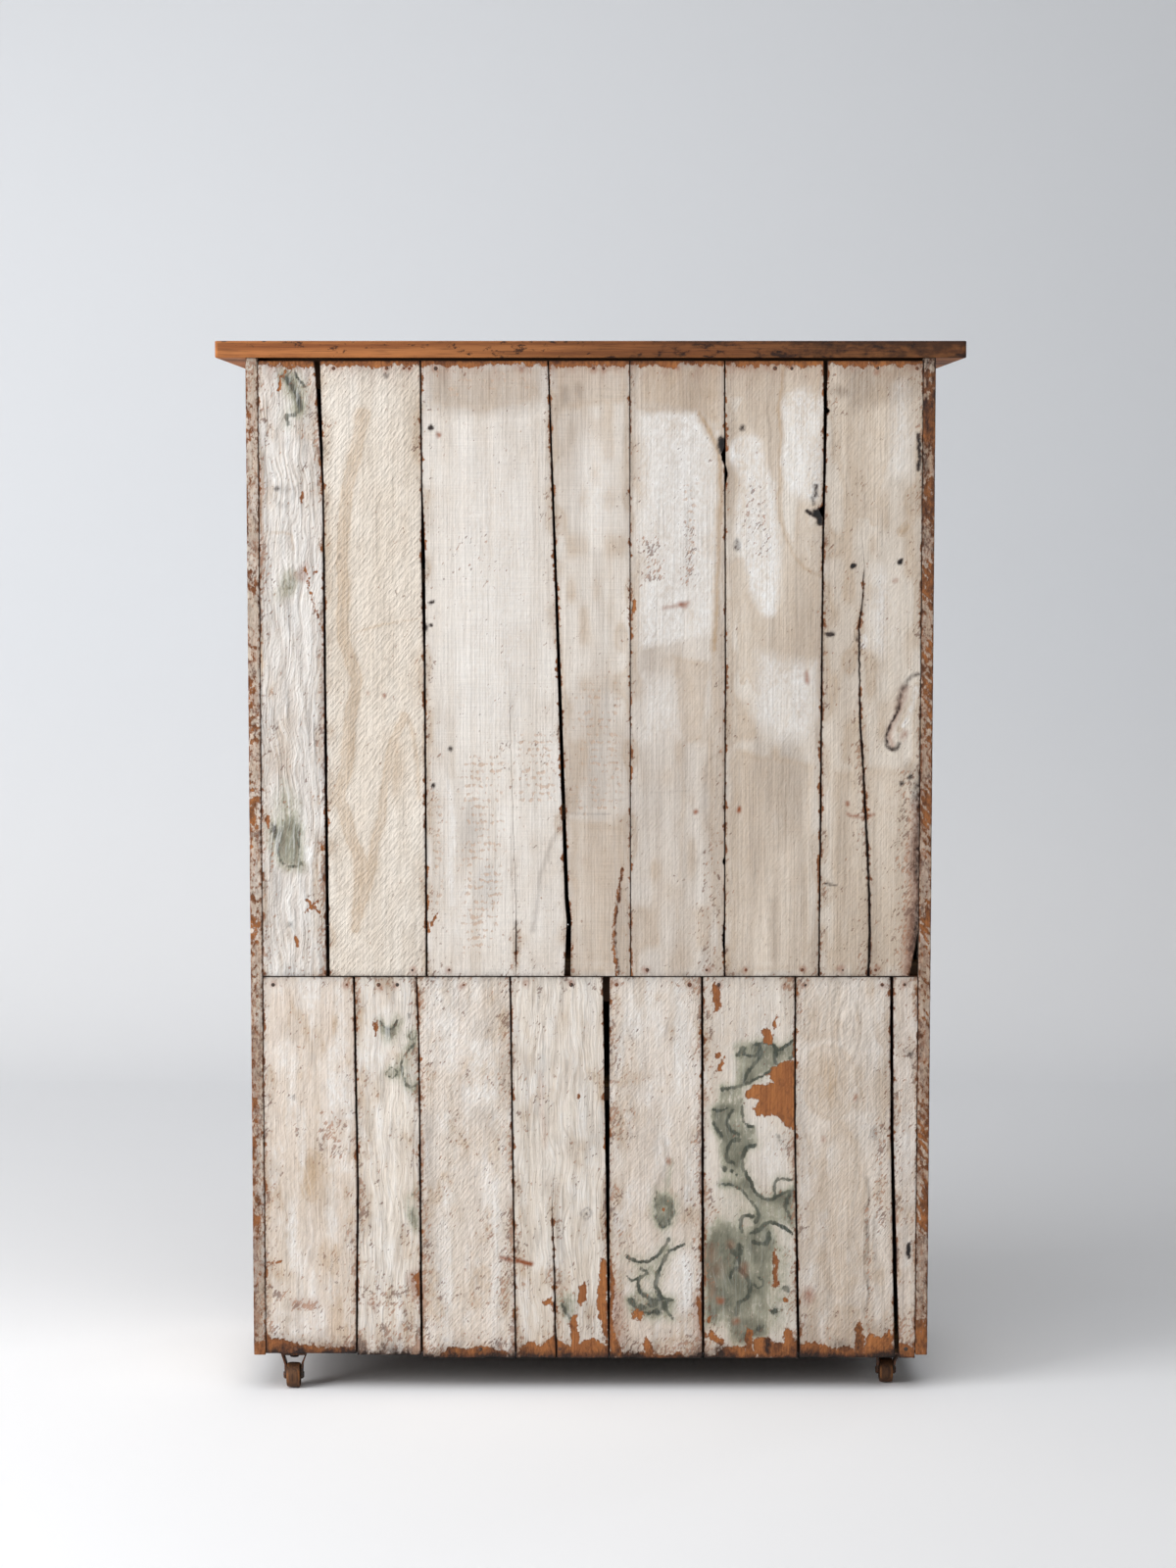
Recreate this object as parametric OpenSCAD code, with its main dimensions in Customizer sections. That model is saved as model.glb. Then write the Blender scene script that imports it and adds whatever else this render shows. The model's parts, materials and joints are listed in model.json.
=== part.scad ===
// Painted cupboard on four casters, with two upper and two lower framed doors.
// The doors face -Y and the boarded back faces +Y. Z is up, from the floor,
// and the origin is under the middle of the top board. All sizes are in millimetres.
// Left and right are those of someone who faces the doors, so left is -X.

/* [Case] */
// Width over the two side boards
case_w = 914; // [860:2:1000]
// Depth from the front of the face frame to the back of the back boards
case_d = 406; // [370:2:460]
// Height of the side boards
case_h = 1344; // [1300:2:1440]
// Thickness of each side board
side_t = 16; // [14:0.5:20]
// Height of the lower tier, from the bottom of the sides to the line between the tiers
lower_tier_h = 518; // [490:2:560]
// Depth of the grooves in the sides that hold the floor and the middle shelf
housing_depth = 5; // [3:0.5:7]

/* [Top board] */
// Thickness of the top board
top_t = 22; // [18:1:28]
// How far the top board stands out past each side
top_side_over = 40; // [20:1:60]
// How far the top board stands out past the front
top_front_over = 30; // [28:1:45]
// How far the top board stands out past the back
top_back_over = 4; // [2:1:12]
// Radius of the top board's corners, seen from above
top_corner_r = 5; // [2:1:12]

/* [Shelves and rails inside] */
// Thickness of the floor and of each shelf
shelf_t = 18; // [15:1:22]
// Height of the lower shelf's underside over the bottom of the sides
lower_shelf_h = 347; // [300:1:400]
// Height of the first upper shelf's underside over the line between the tiers
first_shelf_h = 211; // [180:1:240]
// Height of the second upper shelf's underside over the line between the tiers
second_shelf_h = 528; // [480:1:560]
// Gap between each end of a loose shelf and the side board
shelf_end_gap = 0.3; // [0.2:0.1:1]
// How far the shelves stand back from the doors
shelf_setback = 2; // [1:0.5:4]
// Height and width of the cleats under the loose shelves
cleat_w = 20; // [16:1:26]
// Thickness of the two rails across the back
back_rail_t = 18; // [14:1:24]
// Height of the rail under the top board
top_back_rail_h = 40; // [34:1:55]
// Height of the rail under the middle shelf
middle_back_rail_h = 36; // [30:1:50]

/* [Back boards] */
// Thickness of the back boards
back_t = 14; // [12:0.5:16]
// Gap between the upper back boards and the top board
back_top_gap = 4; // [2:0.5:8]
// Gap between the upper and the lower back boards
tier_gap = 1.5; // [1:0.5:4]
// Gap between the outermost back boards and the side boards
back_side_gap = 0.5; // [0.3:0.1:1]

/* [Face frame] */
// Thickness of the face frame and of the doors
front_t = 20; // [18:0.5:24]
// Width of the two outer stiles
stile_w = 58; // [48:1:70]
// Width of the stiles between the doors
centre_stile_w = 64; // [52:1:80]
// Height of the rail over the upper doors
top_rail_h = 60; // [50:1:80]
// Height of the rail between the upper and the lower doors
middle_rail_h = 70; // [56:1:84]
// Height of the rail under the lower doors
bottom_rail_h = 40; // [34:1:60]
// Length of the tenons that join the face frame
tenon_l = 22; // [14:1:30]
// Length of the tenons of the stiles between the doors
centre_tenon_l = 16; // [10:1:20]
// Thickness of the tenons that join the face frame
tenon_t = 8; // [6:0.5:10]
// Shoulder over and under each of those tenons
tenon_shoulder = 7; // [4:0.5:10]

/* [Doors] */
// Gap all round each door
door_gap = 2; // [1.5:0.1:3]
// Width of the door stiles and of the top rail
door_stile_w = 62; // [52:1:74]
// Height of the bottom rail of each door
door_bottom_rail_h = 74; // [60:1:90]
// Width of the grooves that hold the panels
groove_w = 7; // [5:0.5:9]
// Depth of those grooves
groove_depth = 9; // [7:0.5:12]
// Gap between the edge of a panel and the bottom of its groove
panel_edge_gap = 1; // [0.5:0.1:1.5]
// How far the raised field stands in front of the panel's tongue
field_rise = 4; // [2:0.5:6]
// Width of the slope round the raised field
field_slope_w = 34; // [20:1:44]

/* [Knobs] */
// Radius of the knob's head
knob_r = 15; // [12:0.5:19]
// How far the knob stands out from the door
knob_l = 27; // [22:0.5:27.5]
// How flat the knob's head is: its half height over its radius
knob_flatness = 0.6; // [0.45:0.05:0.75]
// Radius of the knob's neck
knob_neck_r = 7; // [5:0.5:8]
// How far the knob's foot stands out round its neck
knob_foot_over = 2; // [1:0.5:4]
// Thickness of the knob's foot
knob_foot_t = 2; // [1:0.5:3]
// Radius of the peg behind the knob
knob_peg_r = 5; // [3.5:0.5:6]
// Length of the peg behind the knob
knob_peg_l = 14; // [8:0.5:18]
// Height of the upper knobs under the turn button's screw
upper_knob_drop = 95; // [80:1:140]
// Height of the lower knobs under the turn button's screw
lower_knob_drop = 85; // [80:1:110]

/* [Turn buttons] */
// Length of a turn button
button_l = 104; // [96:1:116]
// Width of a turn button
button_w = 25; // [20:1:30]
// Thickness of a turn button
button_t = 11; // [8:0.5:13]
// Radius of the screw that a turn button turns on
button_screw_r = 2.5; // [2:0.1:3]
// Radius of that screw's head
button_head_r = 5.5; // [4.5:0.1:7]
// Height of that screw's head
button_head_h = 3; // [2:0.1:4]
// Thickness of the collar behind the button
button_collar_t = 1.2; // [1:0.1:2]
// Length of the screw in the stile
button_screw_l = 15; // [10:0.5:17]

/* [Hinges] */
// Length of a butt hinge
hinge_l = 64; // [50:1:76]
// Length of the middle knuckle, which is the door's
hinge_middle_l = 24; // [18:1:30]
// Width of each leaf
hinge_leaf_w = 16; // [12:0.5:17.5]
// Thickness of each leaf
hinge_leaf_t = 1.6; // [1.2:0.1:2]
// Radius of the knuckles
knuckle_r = 4; // [3.5:0.1:5]
// Radius of the hole for the hinge pin
hinge_bore_r = 2; // [1.6:0.1:2.4]
// Height of the hinge pin's head
hinge_head_h = 2.5; // [1.5:0.1:4]
// Distance from the door's end to the hinge
hinge_end_gap = 80; // [60:1:90]

/* [Casters] */
// Height of the bottom of the sides over the floor
caster_h = 50; // [47:0.5:58]
// Distance from the side's outer face to the kingpin
caster_side_in = 52; // [46:1:70]
// Distance from the back of the case to the rear kingpins
caster_back_in = 36; // [34:1:60]
// Distance from the front of the case to the front kingpins
caster_front_in = 42; // [40:1:70]
// Side of the square plate
caster_plate_w = 38; // [34:1:40]
// Thickness of the plate
caster_plate_t = 2.5; // [2:0.1:3.5]
// Radius of the kingpin
kingpin_r = 4; // [3:0.1:5]
// Radius of the riveted end of the kingpin
kingpin_head_r = 8.5; // [7:0.1:9]
// Height of the riveted end of the kingpin
kingpin_head_h = 4; // [3:0.1:4.5]
// Gap between the plate and the top of the fork
swivel_gap = 1.5; // [1.2:0.1:2]
// Radius of the wheel
wheel_r = 17; // [15:0.5:17.5]
// Width of the wheel's tread
wheel_w = 18; // [14:0.5:20]
// How much higher the tread is in the middle than at its edges
wheel_crown = 1; // [0.5:0.1:2]
// Radius of the wheel's hub
wheel_hub_r = 8; // [6:0.5:9]
// Thickness of the wheel's rim
wheel_rim_t = 3.5; // [2.5:0.5:4.5]
// How deep the wheel is dished between its hub and its rim, on each side
wheel_dish = 2.5; // [1:0.5:4]
// Radius of the wheel's bore
wheel_bore_r = 3; // [2.5:0.1:3.5]
// Distance from the kingpin back to the axle
caster_trail = 13; // [10:0.5:14]
// Width of the fork across its shoulders
fork_top_w = 36; // [34:0.5:38]
// Length of the fork's top, from front to back
fork_top_l = 22; // [19:0.5:24]
// Thickness of the fork's metal
fork_t = 2.8; // [2.4:0.1:3.2]
// Height over the axle at which the fork's shoulders start
fork_neck_h = 14; // [10:0.5:16]
// Radius of the fork's ends round the axle
fork_eye_r = 5.5; // [5:0.1:6.5]
// Height of the axle's riveted ends
axle_rivet_h = 1.2; // [0.8:0.1:2]

/* [Clearances] */
// Radial gap between a pin and the hole that turns on it
run_gap = 0.05; // [0.03:0.01:0.08]
// Gap between faces that slide past each other
slide_gap = 0.4; // [0.35:0.05:0.6]
// Gap at a fixed joint: the glue line of a door's rails and the rivets of an axle
fixed_gap = 0.1; // [0.05:0.05:0.3]

/* [Hidden] */

// Smoothness of the round pieces
$fn = 48;
// A cut runs this far past the face that it opens
cut_past = 1;
// Radius at the top of a tapered rivet or screw head over the radius at its foot
head_top_share = 0.65;
// Which side a piece is on, seen by someone who faces the doors
LEFT = -1;
RIGHT = 1;

// Planes of the case
top_w = case_w + 2 * top_side_over;
top_d = case_d + top_front_over + top_back_over;
front_y = -top_d / 2 + top_front_over;
back_y = front_y + case_d;
frame_back_y = front_y + front_t;
back_inner_y = back_y - back_t;
inner_x = case_w / 2 - side_t;
case_z = caster_h;
tier_z = case_z + lower_tier_h;
case_top_z = case_z + case_h;
side_d = back_y - frame_back_y;

// Face frame and door openings
middle_rail_z = tier_z + shelf_t - middle_rail_h;
lower_opening_z = case_z + bottom_rail_h;
lower_opening_h = middle_rail_z - lower_opening_z;
upper_opening_z = middle_rail_z + middle_rail_h;
upper_opening_h = case_top_z - top_rail_h - upper_opening_z;
stile_inner_x = case_w / 2 - stile_w;
opening_w = stile_inner_x - centre_stile_w / 2;

// Doors, seen from their hinge edge
door_w = opening_w - 2 * door_gap;
hinge_edge_x = stile_inner_x - door_gap;
upper_door_z = upper_opening_z + door_gap;
upper_door_h = upper_opening_h - 2 * door_gap;
lower_door_z = lower_opening_z + door_gap;
lower_door_h = lower_opening_h - 2 * door_gap;
upper_button_z = upper_opening_z + upper_opening_h / 2;
lower_button_z = lower_opening_z + lower_opening_h / 2 + lower_knob_drop / 2;
pivot_y = -knuckle_r - slide_gap;

// Casters
plate_z = caster_h - caster_plate_t;
fork_top_z = plate_z - swivel_gap;
fork_roof_z = fork_top_z - fork_t;
arm_inner_x = wheel_w / 2 + 2 * slide_gap;
arm_outer_x = arm_inner_x + fork_t;
caster_x = case_w / 2 - caster_side_in;
rear_caster_y = back_y - caster_back_in;
front_caster_y = front_y + caster_front_in;
// How far each fork is turned from trailing towards the back
REAR_LEFT = [-caster_x, rear_caster_y, 180];
REAR_RIGHT = [caster_x, rear_caster_y, 0];
FRONT_LEFT = [-caster_x, front_caster_y, 0];
FRONT_RIGHT = [caster_x, front_caster_y, 180];
CASTERS = [REAR_LEFT, REAR_RIGHT, FRONT_LEFT, FRONT_RIGHT];

// Width between the sides that the joints of the back boards are set out on.
// A wider or narrower case spreads or closes them by the same share.
setout_w = 882;
// Joints between the back boards, counted from the right side board. Each point is
// the share of the board's length from its bottom, the place of the joint and its gap.
UPPER_JOINTS = [
  [[0, 88, 4], [0.8, 86, 1.5], [1, 79, 7]],
  [[0, 221, 2], [0.5, 220, 2], [0.68, 218.5, 5], [0.8, 217, 1.5], [1, 216, 1.5]],
  [[0, 410, 8], [0.09, 412, 6], [0.13, 409, 5], [0.5, 399, 4], [1, 385, 1.5]],
  [[0, 495, 1], [1, 493, 1]],
  [[0, 621, 1.5], [0.5, 621, 1.5], [1, 618.5, 1.5]],
  [[0, 748, 1.5], [0.7, 750, 2], [0.87, 752, 3.5], [1, 752, 5]]
];
LOWER_JOINTS = [
  [[0, 123.5, 2], [0.45, 126.5, 2], [1, 123, 2]],
  [[0, 212, 3], [0.84, 210, 1], [1, 207, 1]],
  [[0, 339.5, 1.5], [1, 333, 2]],
  [[0, 466, 1.5], [1, 462, 8.5]],
  [[0, 594, 2.5], [1, 591, 2.5]],
  [[0, 723.5, 3], [0.6, 717, 1.5], [1, 716.5, 1.5]],
  [[0, 857, 6], [0.6, 848, 3.5], [1, 846, 3.5]]
];
// How far each lower back board reaches past the bottom of the sides
LOWER_DROPS = [-2, 0, 4, 4.5, 4.5, 4.5, 4, 4.5];
// The last upper back board lost its bottom corner: width and height of the break
BROKEN_CORNER = [12, 66];

// Place across the back of a point of a joint, moved to one side by a half gap
function joint_x(place, half_gap) = inner_x - place * 2 * inner_x / setout_w - half_gap;

// Edge of a back board along a joint, from its bottom up; half is 1 or -1 for the side of the gap
function joint_edge(joint, half, z, h) = [for (p = joint) [joint_x(p[1], half * p[2] / 2), z + p[0] * h]];

// Points of a list in the other order
function reversed(points) = [for (i = [len(points) - 1 : -1 : 0]) points[i]];

// Outline of back board number i of a tier, seen from the front
function board_outline(joints, i, z, h) = concat(
  i == 1
    ? [[inner_x - back_side_gap, z], [inner_x - back_side_gap, z + h]]
    : joint_edge(joints[i - 2], 1, z, h),
  i > len(joints)
    ? [[-inner_x + back_side_gap, z + h], [-inner_x + back_side_gap, z]]
    : reversed(joint_edge(joints[i - 1], -1, z, h))
);

// A board that fills the space between two corners
module board(low, high) {
  translate(low)
    cube(high - low);
}

// An outline seen from the front, as thick as t, with its rear face at y
module upright(y, t) {
  translate([0, y, 0])
    rotate([90, 0, 0])
      linear_extrude(t)
        children();
}

// Children at a door's hinge edge, bottom end and front face, with x towards its free edge
module at_door(side, z) {
  translate([side * hinge_edge_x, front_y, z])
    mirror([side > 0 ? 1 : 0, 0, 0])
      children();
}

// Children at the bottom of each of a door's two hinges
module at_hinges(door_h) {
  for (z = [hinge_end_gap, door_h - hinge_end_gap - hinge_l])
    translate([0, 0, z])
      children();
}

// Top board with eased corners
module top_board() {
  color("sienna")
    translate([0, 0, case_top_z])
      linear_extrude(top_t) {
        square([top_w - 2 * top_corner_r, top_d], center = true);
        square([top_w, top_d - 2 * top_corner_r], center = true);
        for (x = [-1, 1], y = [-1, 1])
          translate([x * (top_w / 2 - top_corner_r), y * (top_d / 2 - top_corner_r)])
            circle(top_corner_r);
      }
}

// Side board with a groove for the middle shelf and a rebate for the floor
module side_board(side) {
  color("antiquewhite")
    difference() {
      translate([side * (case_w / 2 - side_t / 2), frame_back_y + side_d / 2, case_z + case_h / 2])
        cube([side_t, side_d, case_h], center = true);
      for (z = [case_z, tier_z])
        translate([side * inner_x, (frame_back_y + back_inner_y) / 2, z + shelf_t / 2])
          cube([2 * housing_depth, back_inner_y - frame_back_y, shelf_t], center = true);
    }
}

// Shelf whose ends sit in the grooves of the sides, with its underside at z
module housed_shelf(z) {
  end_x = inner_x + housing_depth;
  color("burlywood")
    board([-end_x, frame_back_y, z], [end_x, back_inner_y, z + shelf_t]);
}

module floor_board() {
  housed_shelf(case_z);
}

module middle_shelf() {
  housed_shelf(tier_z);
}

// Shelf that lies on its cleats, with its underside at z
module loose_shelf(z) {
  end_x = inner_x - shelf_end_gap;
  color("burlywood")
    board([-end_x, frame_back_y + shelf_setback, z], [end_x, back_inner_y, z + shelf_t]);
}

module upper_shelves() {
  loose_shelf(tier_z + first_shelf_h);
  loose_shelf(tier_z + second_shelf_h);
}

module lower_shelf() {
  loose_shelf(case_z + lower_shelf_h);
}

// Pair of cleats on the sides, under a shelf whose underside is at z
module cleat_pair(z) {
  for (side = [LEFT, RIGHT])
    translate([side * (inner_x - cleat_w / 2), (frame_back_y + shelf_setback + back_inner_y) / 2, z - cleat_w / 2])
      cube([cleat_w, back_inner_y - frame_back_y - shelf_setback, cleat_w], center = true);
}

module shelf_cleats() {
  color("tan") {
    cleat_pair(case_z + lower_shelf_h);
    cleat_pair(tier_z + first_shelf_h);
    cleat_pair(tier_z + second_shelf_h);
  }
}

// Rail across the back, under the board whose underside is at z
module back_rail(z, h) {
  board([-inner_x, back_inner_y - back_rail_t, z - h], [inner_x, back_inner_y, z]);
}

module back_rails() {
  color("tan") {
    back_rail(case_top_z, top_back_rail_h);
    back_rail(tier_z, middle_back_rail_h);
  }
}

// Back board number i of the upper tier
module upper_back_board(i) {
  z = tier_z + tier_gap / 2;
  h = case_top_z - back_top_gap - z;
  color("ivory")
    upright(back_y, back_t)
      difference() {
        polygon(board_outline(UPPER_JOINTS, i, z, h));
        if (i > len(UPPER_JOINTS))
          polygon([
            [-inner_x, z + BROKEN_CORNER[1]],
            [-inner_x + BROKEN_CORNER[0] + back_side_gap, z - cut_past],
            [-inner_x, z - cut_past]
          ]);
      }
}

// Back board number i of the lower tier
module lower_back_board(i) {
  z = case_z - LOWER_DROPS[i - 1];
  h = tier_z - tier_gap / 2 - z;
  color("linen")
    upright(back_y, back_t)
      polygon(board_outline(LOWER_JOINTS, i, z, h));
}

// Tenon of a rail of the face frame, or the mortise that takes it
module rail_tenons(z, h) {
  x = stile_inner_x + tenon_l;
  y = front_y + front_t / 2;
  board([-x, y - tenon_t / 2, z + tenon_shoulder], [x, y + tenon_t / 2, z + h - tenon_shoulder]);
}

// Tenon of a stile between the doors, or the mortise that takes it
module centre_tenons(z, h) {
  x = centre_stile_w / 2 - tenon_shoulder;
  y = front_y + front_t / 2;
  board([-x, y - tenon_t / 2, z - centre_tenon_l], [x, y + tenon_t / 2, z + h + centre_tenon_l]);
}

// Outer stile of the face frame, with its mortises and the gains for the hinges
module outer_stile(side) {
  color("antiquewhite")
    difference() {
      translate([side * (case_w / 2 - stile_w / 2), front_y + front_t / 2, case_z + case_h / 2])
        cube([stile_w, front_t, case_h], center = true);
      rail_tenons(case_z, bottom_rail_h);
      rail_tenons(middle_rail_z, middle_rail_h);
      rail_tenons(case_top_z - top_rail_h, top_rail_h);
      at_door(side, upper_door_z)
        at_hinges(upper_door_h)
          case_gain();
      at_door(side, lower_door_z)
        at_hinges(lower_door_h)
          case_gain();
    }
}

// Rail of the face frame between the outer stiles, from z up
module frame_rail(z, h) {
  color("antiquewhite")
    difference() {
      union() {
        board([-stile_inner_x, front_y, z], [stile_inner_x, frame_back_y, z + h]);
        rail_tenons(z, h);
      }
      centre_tenons(upper_opening_z, upper_opening_h);
      centre_tenons(lower_opening_z, lower_opening_h);
    }
}

module top_rail() {
  frame_rail(case_top_z - top_rail_h, top_rail_h);
}

module middle_rail() {
  frame_rail(middle_rail_z, middle_rail_h);
}

module bottom_rail() {
  frame_rail(case_z, bottom_rail_h);
}

// Stile between two doors, with a hole for the turn button's screw at height screw_z
module centre_stile(z, h, screw_z) {
  difference() {
    union() {
      board([-centre_stile_w / 2, front_y, z], [centre_stile_w / 2, frame_back_y, z + h]);
      centre_tenons(z, h);
    }
    at_button(screw_z)
      cylinder(r = button_screw_r, h = button_screw_l);
  }
}

module centre_stiles() {
  color("antiquewhite") {
    centre_stile(upper_opening_z, upper_opening_h, upper_button_z);
    centre_stile(lower_opening_z, lower_opening_h, lower_button_z);
  }
}

// Frame of a door: two stiles with grooves, and two rails whose tongues sit in them
module door_frame(side, z, h, knob_z) {
  color("antiquewhite")
    at_door(side, z) {
      difference() {
        cube([door_stile_w, front_t, h]);
        stile_groove(door_stile_w - groove_depth, h);
        at_hinges(h)
          door_gain();
      }
      difference() {
        translate([door_w - door_stile_w, 0, 0])
          cube([door_stile_w, front_t, h]);
        stile_groove(door_w - door_stile_w, h);
        knob_hole(knob_z - z);
      }
      door_rail(0, door_bottom_rail_h, door_bottom_rail_h - groove_depth);
      door_rail(h - door_stile_w, door_stile_w, 0);
    }
}

// Groove in a door stile, from x on
module stile_groove(x, h) {
  translate([x, (front_t - groove_w) / 2, -cut_past])
    cube([groove_depth, groove_w, h + 2 * cut_past]);
}

// Door rail with a groove for the panel and a tongue at each end
module door_rail(z, h, groove_z) {
  rail_l = door_w - 2 * door_stile_w - 2 * fixed_gap;
  tongue_t = groove_w - 2 * fixed_gap;
  translate([door_stile_w + fixed_gap, 0, z])
    difference() {
      union() {
        cube([rail_l, front_t, h]);
        translate([-groove_depth, (front_t - tongue_t) / 2, 0])
          cube([rail_l + 2 * groove_depth, tongue_t, h]);
      }
      translate([-groove_depth - cut_past, (front_t - groove_w) / 2, groove_z])
        cube([rail_l + 2 * groove_depth + 2 * cut_past, groove_w, groove_depth]);
    }
}

// Half of a panel's section, from its edge at 0 to its middle; y runs into the case
function panel_section(w) = [
  [0, groove_w / 2],
  [0, -groove_w / 2],
  [groove_depth, -groove_w / 2],
  [groove_depth + field_slope_w, -groove_w / 2 - field_rise],
  [w - groove_depth - field_slope_w, -groove_w / 2 - field_rise],
  [w - groove_depth, -groove_w / 2],
  [w, -groove_w / 2],
  [w, groove_w / 2]
];

// Door panel with a raised field, sloped down to the tongue on all four sides
module door_panel(side, z, h) {
  edge = groove_depth - panel_edge_gap;
  panel_w = door_w - 2 * door_stile_w + 2 * edge;
  panel_h = h - door_stile_w - door_bottom_rail_h + 2 * edge;
  color("antiquewhite")
    at_door(side, z)
      translate([door_stile_w - edge, front_t / 2, door_bottom_rail_h - edge])
        intersection() {
          linear_extrude(panel_h)
            polygon(panel_section(panel_w));
          translate([panel_w, 0, 0])
            rotate([0, -90, 0])
              linear_extrude(panel_w)
                polygon(panel_section(panel_h));
        }
}

// Hole in a door's free stile for the knob's peg, z over the door's bottom
module knob_hole(z) {
  translate([door_w - door_stile_w / 2, knob_peg_l, z])
    rotate([90, 0, 0])
      cylinder(r = knob_peg_r, h = knob_peg_l + cut_past);
}

// Turned knob with a peg, seen as a half section: radius, then distance in front of the door.
// A cove draws the foot in to the neck, and the head is a flattened ball.
function knob_section() = let (
  foot_r = knob_neck_r + knob_foot_over,
  head_half = knob_r * knob_flatness,
  cove_l = (knob_l - 2 * head_half - knob_foot_t) / 2
) concat(
  [[0, -knob_peg_l], [knob_peg_r, -knob_peg_l], [knob_peg_r, 0], [foot_r, 0]],
  [for (a = [0 : 15 : 90]) [foot_r - knob_foot_over * sin(a), knob_foot_t + cove_l * (1 - cos(a))]],
  [for (a = [-60 : 15 : 75]) [knob_r * cos(a), knob_l - head_half + head_half * sin(a)]],
  [[0, knob_l]]
);

module knob(side, z, knob_z) {
  color("peru")
    at_door(side, z)
      translate([door_w - door_stile_w / 2, 0, knob_z - z])
        rotate([90, 0, 0])
          rotate_extrude()
            polygon(knob_section());
}

// Length of each of the case's two knuckles of a hinge
function case_knuckle_l() = (hinge_l - hinge_middle_l) / 2 - slide_gap;

// Part of a hinge leaf: a knuckle of length l from z up, with its arm to the leaf at x
module knuckle(x, z, l) {
  translate([-door_gap / 2, pivot_y, z])
    cylinder(r = knuckle_r, h = l);
  translate([x, pivot_y, z])
    cube([hinge_leaf_t, hinge_leaf_w / 2 - pivot_y, l]);
}

// Hole for the pin through a hinge's knuckles
module pin_hole() {
  translate([-door_gap / 2, pivot_y, -cut_past])
    cylinder(r = hinge_bore_r, h = hinge_l + 2 * cut_past);
}

// Space in the case's stile that the case's leaf lies in
module case_gain() {
  translate([-door_gap - hinge_leaf_t, -cut_past, 0])
    cube([hinge_leaf_t + cut_past, hinge_leaf_w + cut_past, hinge_l]);
}

// Space in the door's stile that the door's leaf lies in
module door_gain() {
  translate([-cut_past, -cut_past, 0])
    cube([hinge_leaf_t + cut_past, hinge_leaf_w + cut_past, hinge_l]);
}

// Case's leaf of a hinge, with the upper and the lower knuckle
module case_leaf() {
  x = -door_gap - hinge_leaf_t;
  difference() {
    union() {
      translate([x, 0, 0])
        cube([hinge_leaf_t, hinge_leaf_w, hinge_l]);
      knuckle(x, 0, case_knuckle_l());
      knuckle(x, hinge_l - case_knuckle_l(), case_knuckle_l());
    }
    pin_hole();
  }
}

// Door's leaf of a hinge, with the middle knuckle
module door_leaf() {
  difference() {
    union() {
      cube([hinge_leaf_t, hinge_leaf_w, hinge_l]);
      knuckle(0, (hinge_l - hinge_middle_l) / 2, hinge_middle_l);
    }
    pin_hole();
  }
}

// Hinge pin with a domed head that rests on the upper knuckle
module hinge_pin() {
  pin_r = hinge_bore_r - run_gap;
  head_r = (hinge_bore_r + knuckle_r) / 2;
  translate([-door_gap / 2, pivot_y, 0]) {
    cylinder(r = pin_r, h = hinge_l);
    translate([0, 0, hinge_l])
      cylinder(r1 = head_r, r2 = head_r * head_top_share, h = hinge_head_h);
  }
}

// Children at every hinge of the cupboard
module at_all_hinges() {
  for (side = [LEFT, RIGHT]) {
    at_door(side, upper_door_z)
      at_hinges(upper_door_h)
        children();
    at_door(side, lower_door_z)
      at_hinges(lower_door_h)
        children();
  }
}

module case_hinge_leaves() {
  color("dimgray")
    at_all_hinges()
      case_leaf();
}

module hinge_pins() {
  color("gray")
    at_all_hinges()
      hinge_pin();
}

// The door's leaves of one door's two hinges
module door_hinge_leaves(side, z, h) {
  color("dimgray")
    at_door(side, z)
      at_hinges(h)
        door_leaf();
}

// Children at a turn button's screw, with z into the stile and 0 at its front face
module at_button(z) {
  translate([0, front_y, z])
    rotate([-90, 0, 0])
      children();
}

// Wooden turn button, upright, with rounded ends and a hole for its screw
module turn_button(z) {
  color("peru")
    at_button(z)
      translate([0, 0, -button_collar_t - slide_gap - button_t])
        linear_extrude(button_t)
          difference() {
            union() {
              square([button_w, button_l - button_w], center = true);
              for (end = [-1, 1])
                translate([0, end * (button_l - button_w) / 2])
                  circle(button_w / 2);
            }
            circle(button_screw_r + run_gap);
          }
}

// Screw of a turn button, with a collar behind the button and a domed head in front of it
module turn_button_screw() {
  head_z = -button_collar_t - 2 * slide_gap - button_t;
  translate([0, 0, head_z])
    cylinder(r = button_screw_r, h = button_screw_l - head_z);
  translate([0, 0, -button_collar_t])
    cylinder(r = button_head_r, h = button_collar_t);
  translate([0, 0, head_z - button_head_h])
    cylinder(r1 = button_head_r * head_top_share, r2 = button_head_r, h = button_head_h);
}

module turn_button_screws() {
  color("dimgray") {
    at_button(upper_button_z)
      turn_button_screw();
    at_button(lower_button_z)
      turn_button_screw();
  }
}

// Children at a caster's kingpin, on the floor, with y towards its axle
module at_caster(place) {
  translate([place[0], place[1], 0])
    rotate([0, 0, place[2]])
      children();
}

// Plate of a caster, with its kingpin, a collar over the fork and the riveted end under it
module caster_plate() {
  head_top_z = fork_roof_z - slide_gap;
  translate([-caster_plate_w / 2, -caster_plate_w / 2, plate_z])
    cube([caster_plate_w, caster_plate_w, caster_plate_t]);
  translate([0, 0, head_top_z])
    cylinder(r = kingpin_r, h = plate_z - head_top_z);
  translate([0, 0, fork_top_z + slide_gap])
    cylinder(r = kingpin_head_r, h = swivel_gap - slide_gap);
  translate([0, 0, head_top_z - kingpin_head_h])
    cylinder(r1 = kingpin_head_r * head_top_share, r2 = kingpin_head_r, h = kingpin_head_h);
}

module caster_plates() {
  color("dimgray")
    for (place = CASTERS)
      at_caster(place)
        caster_plate();
}

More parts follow.
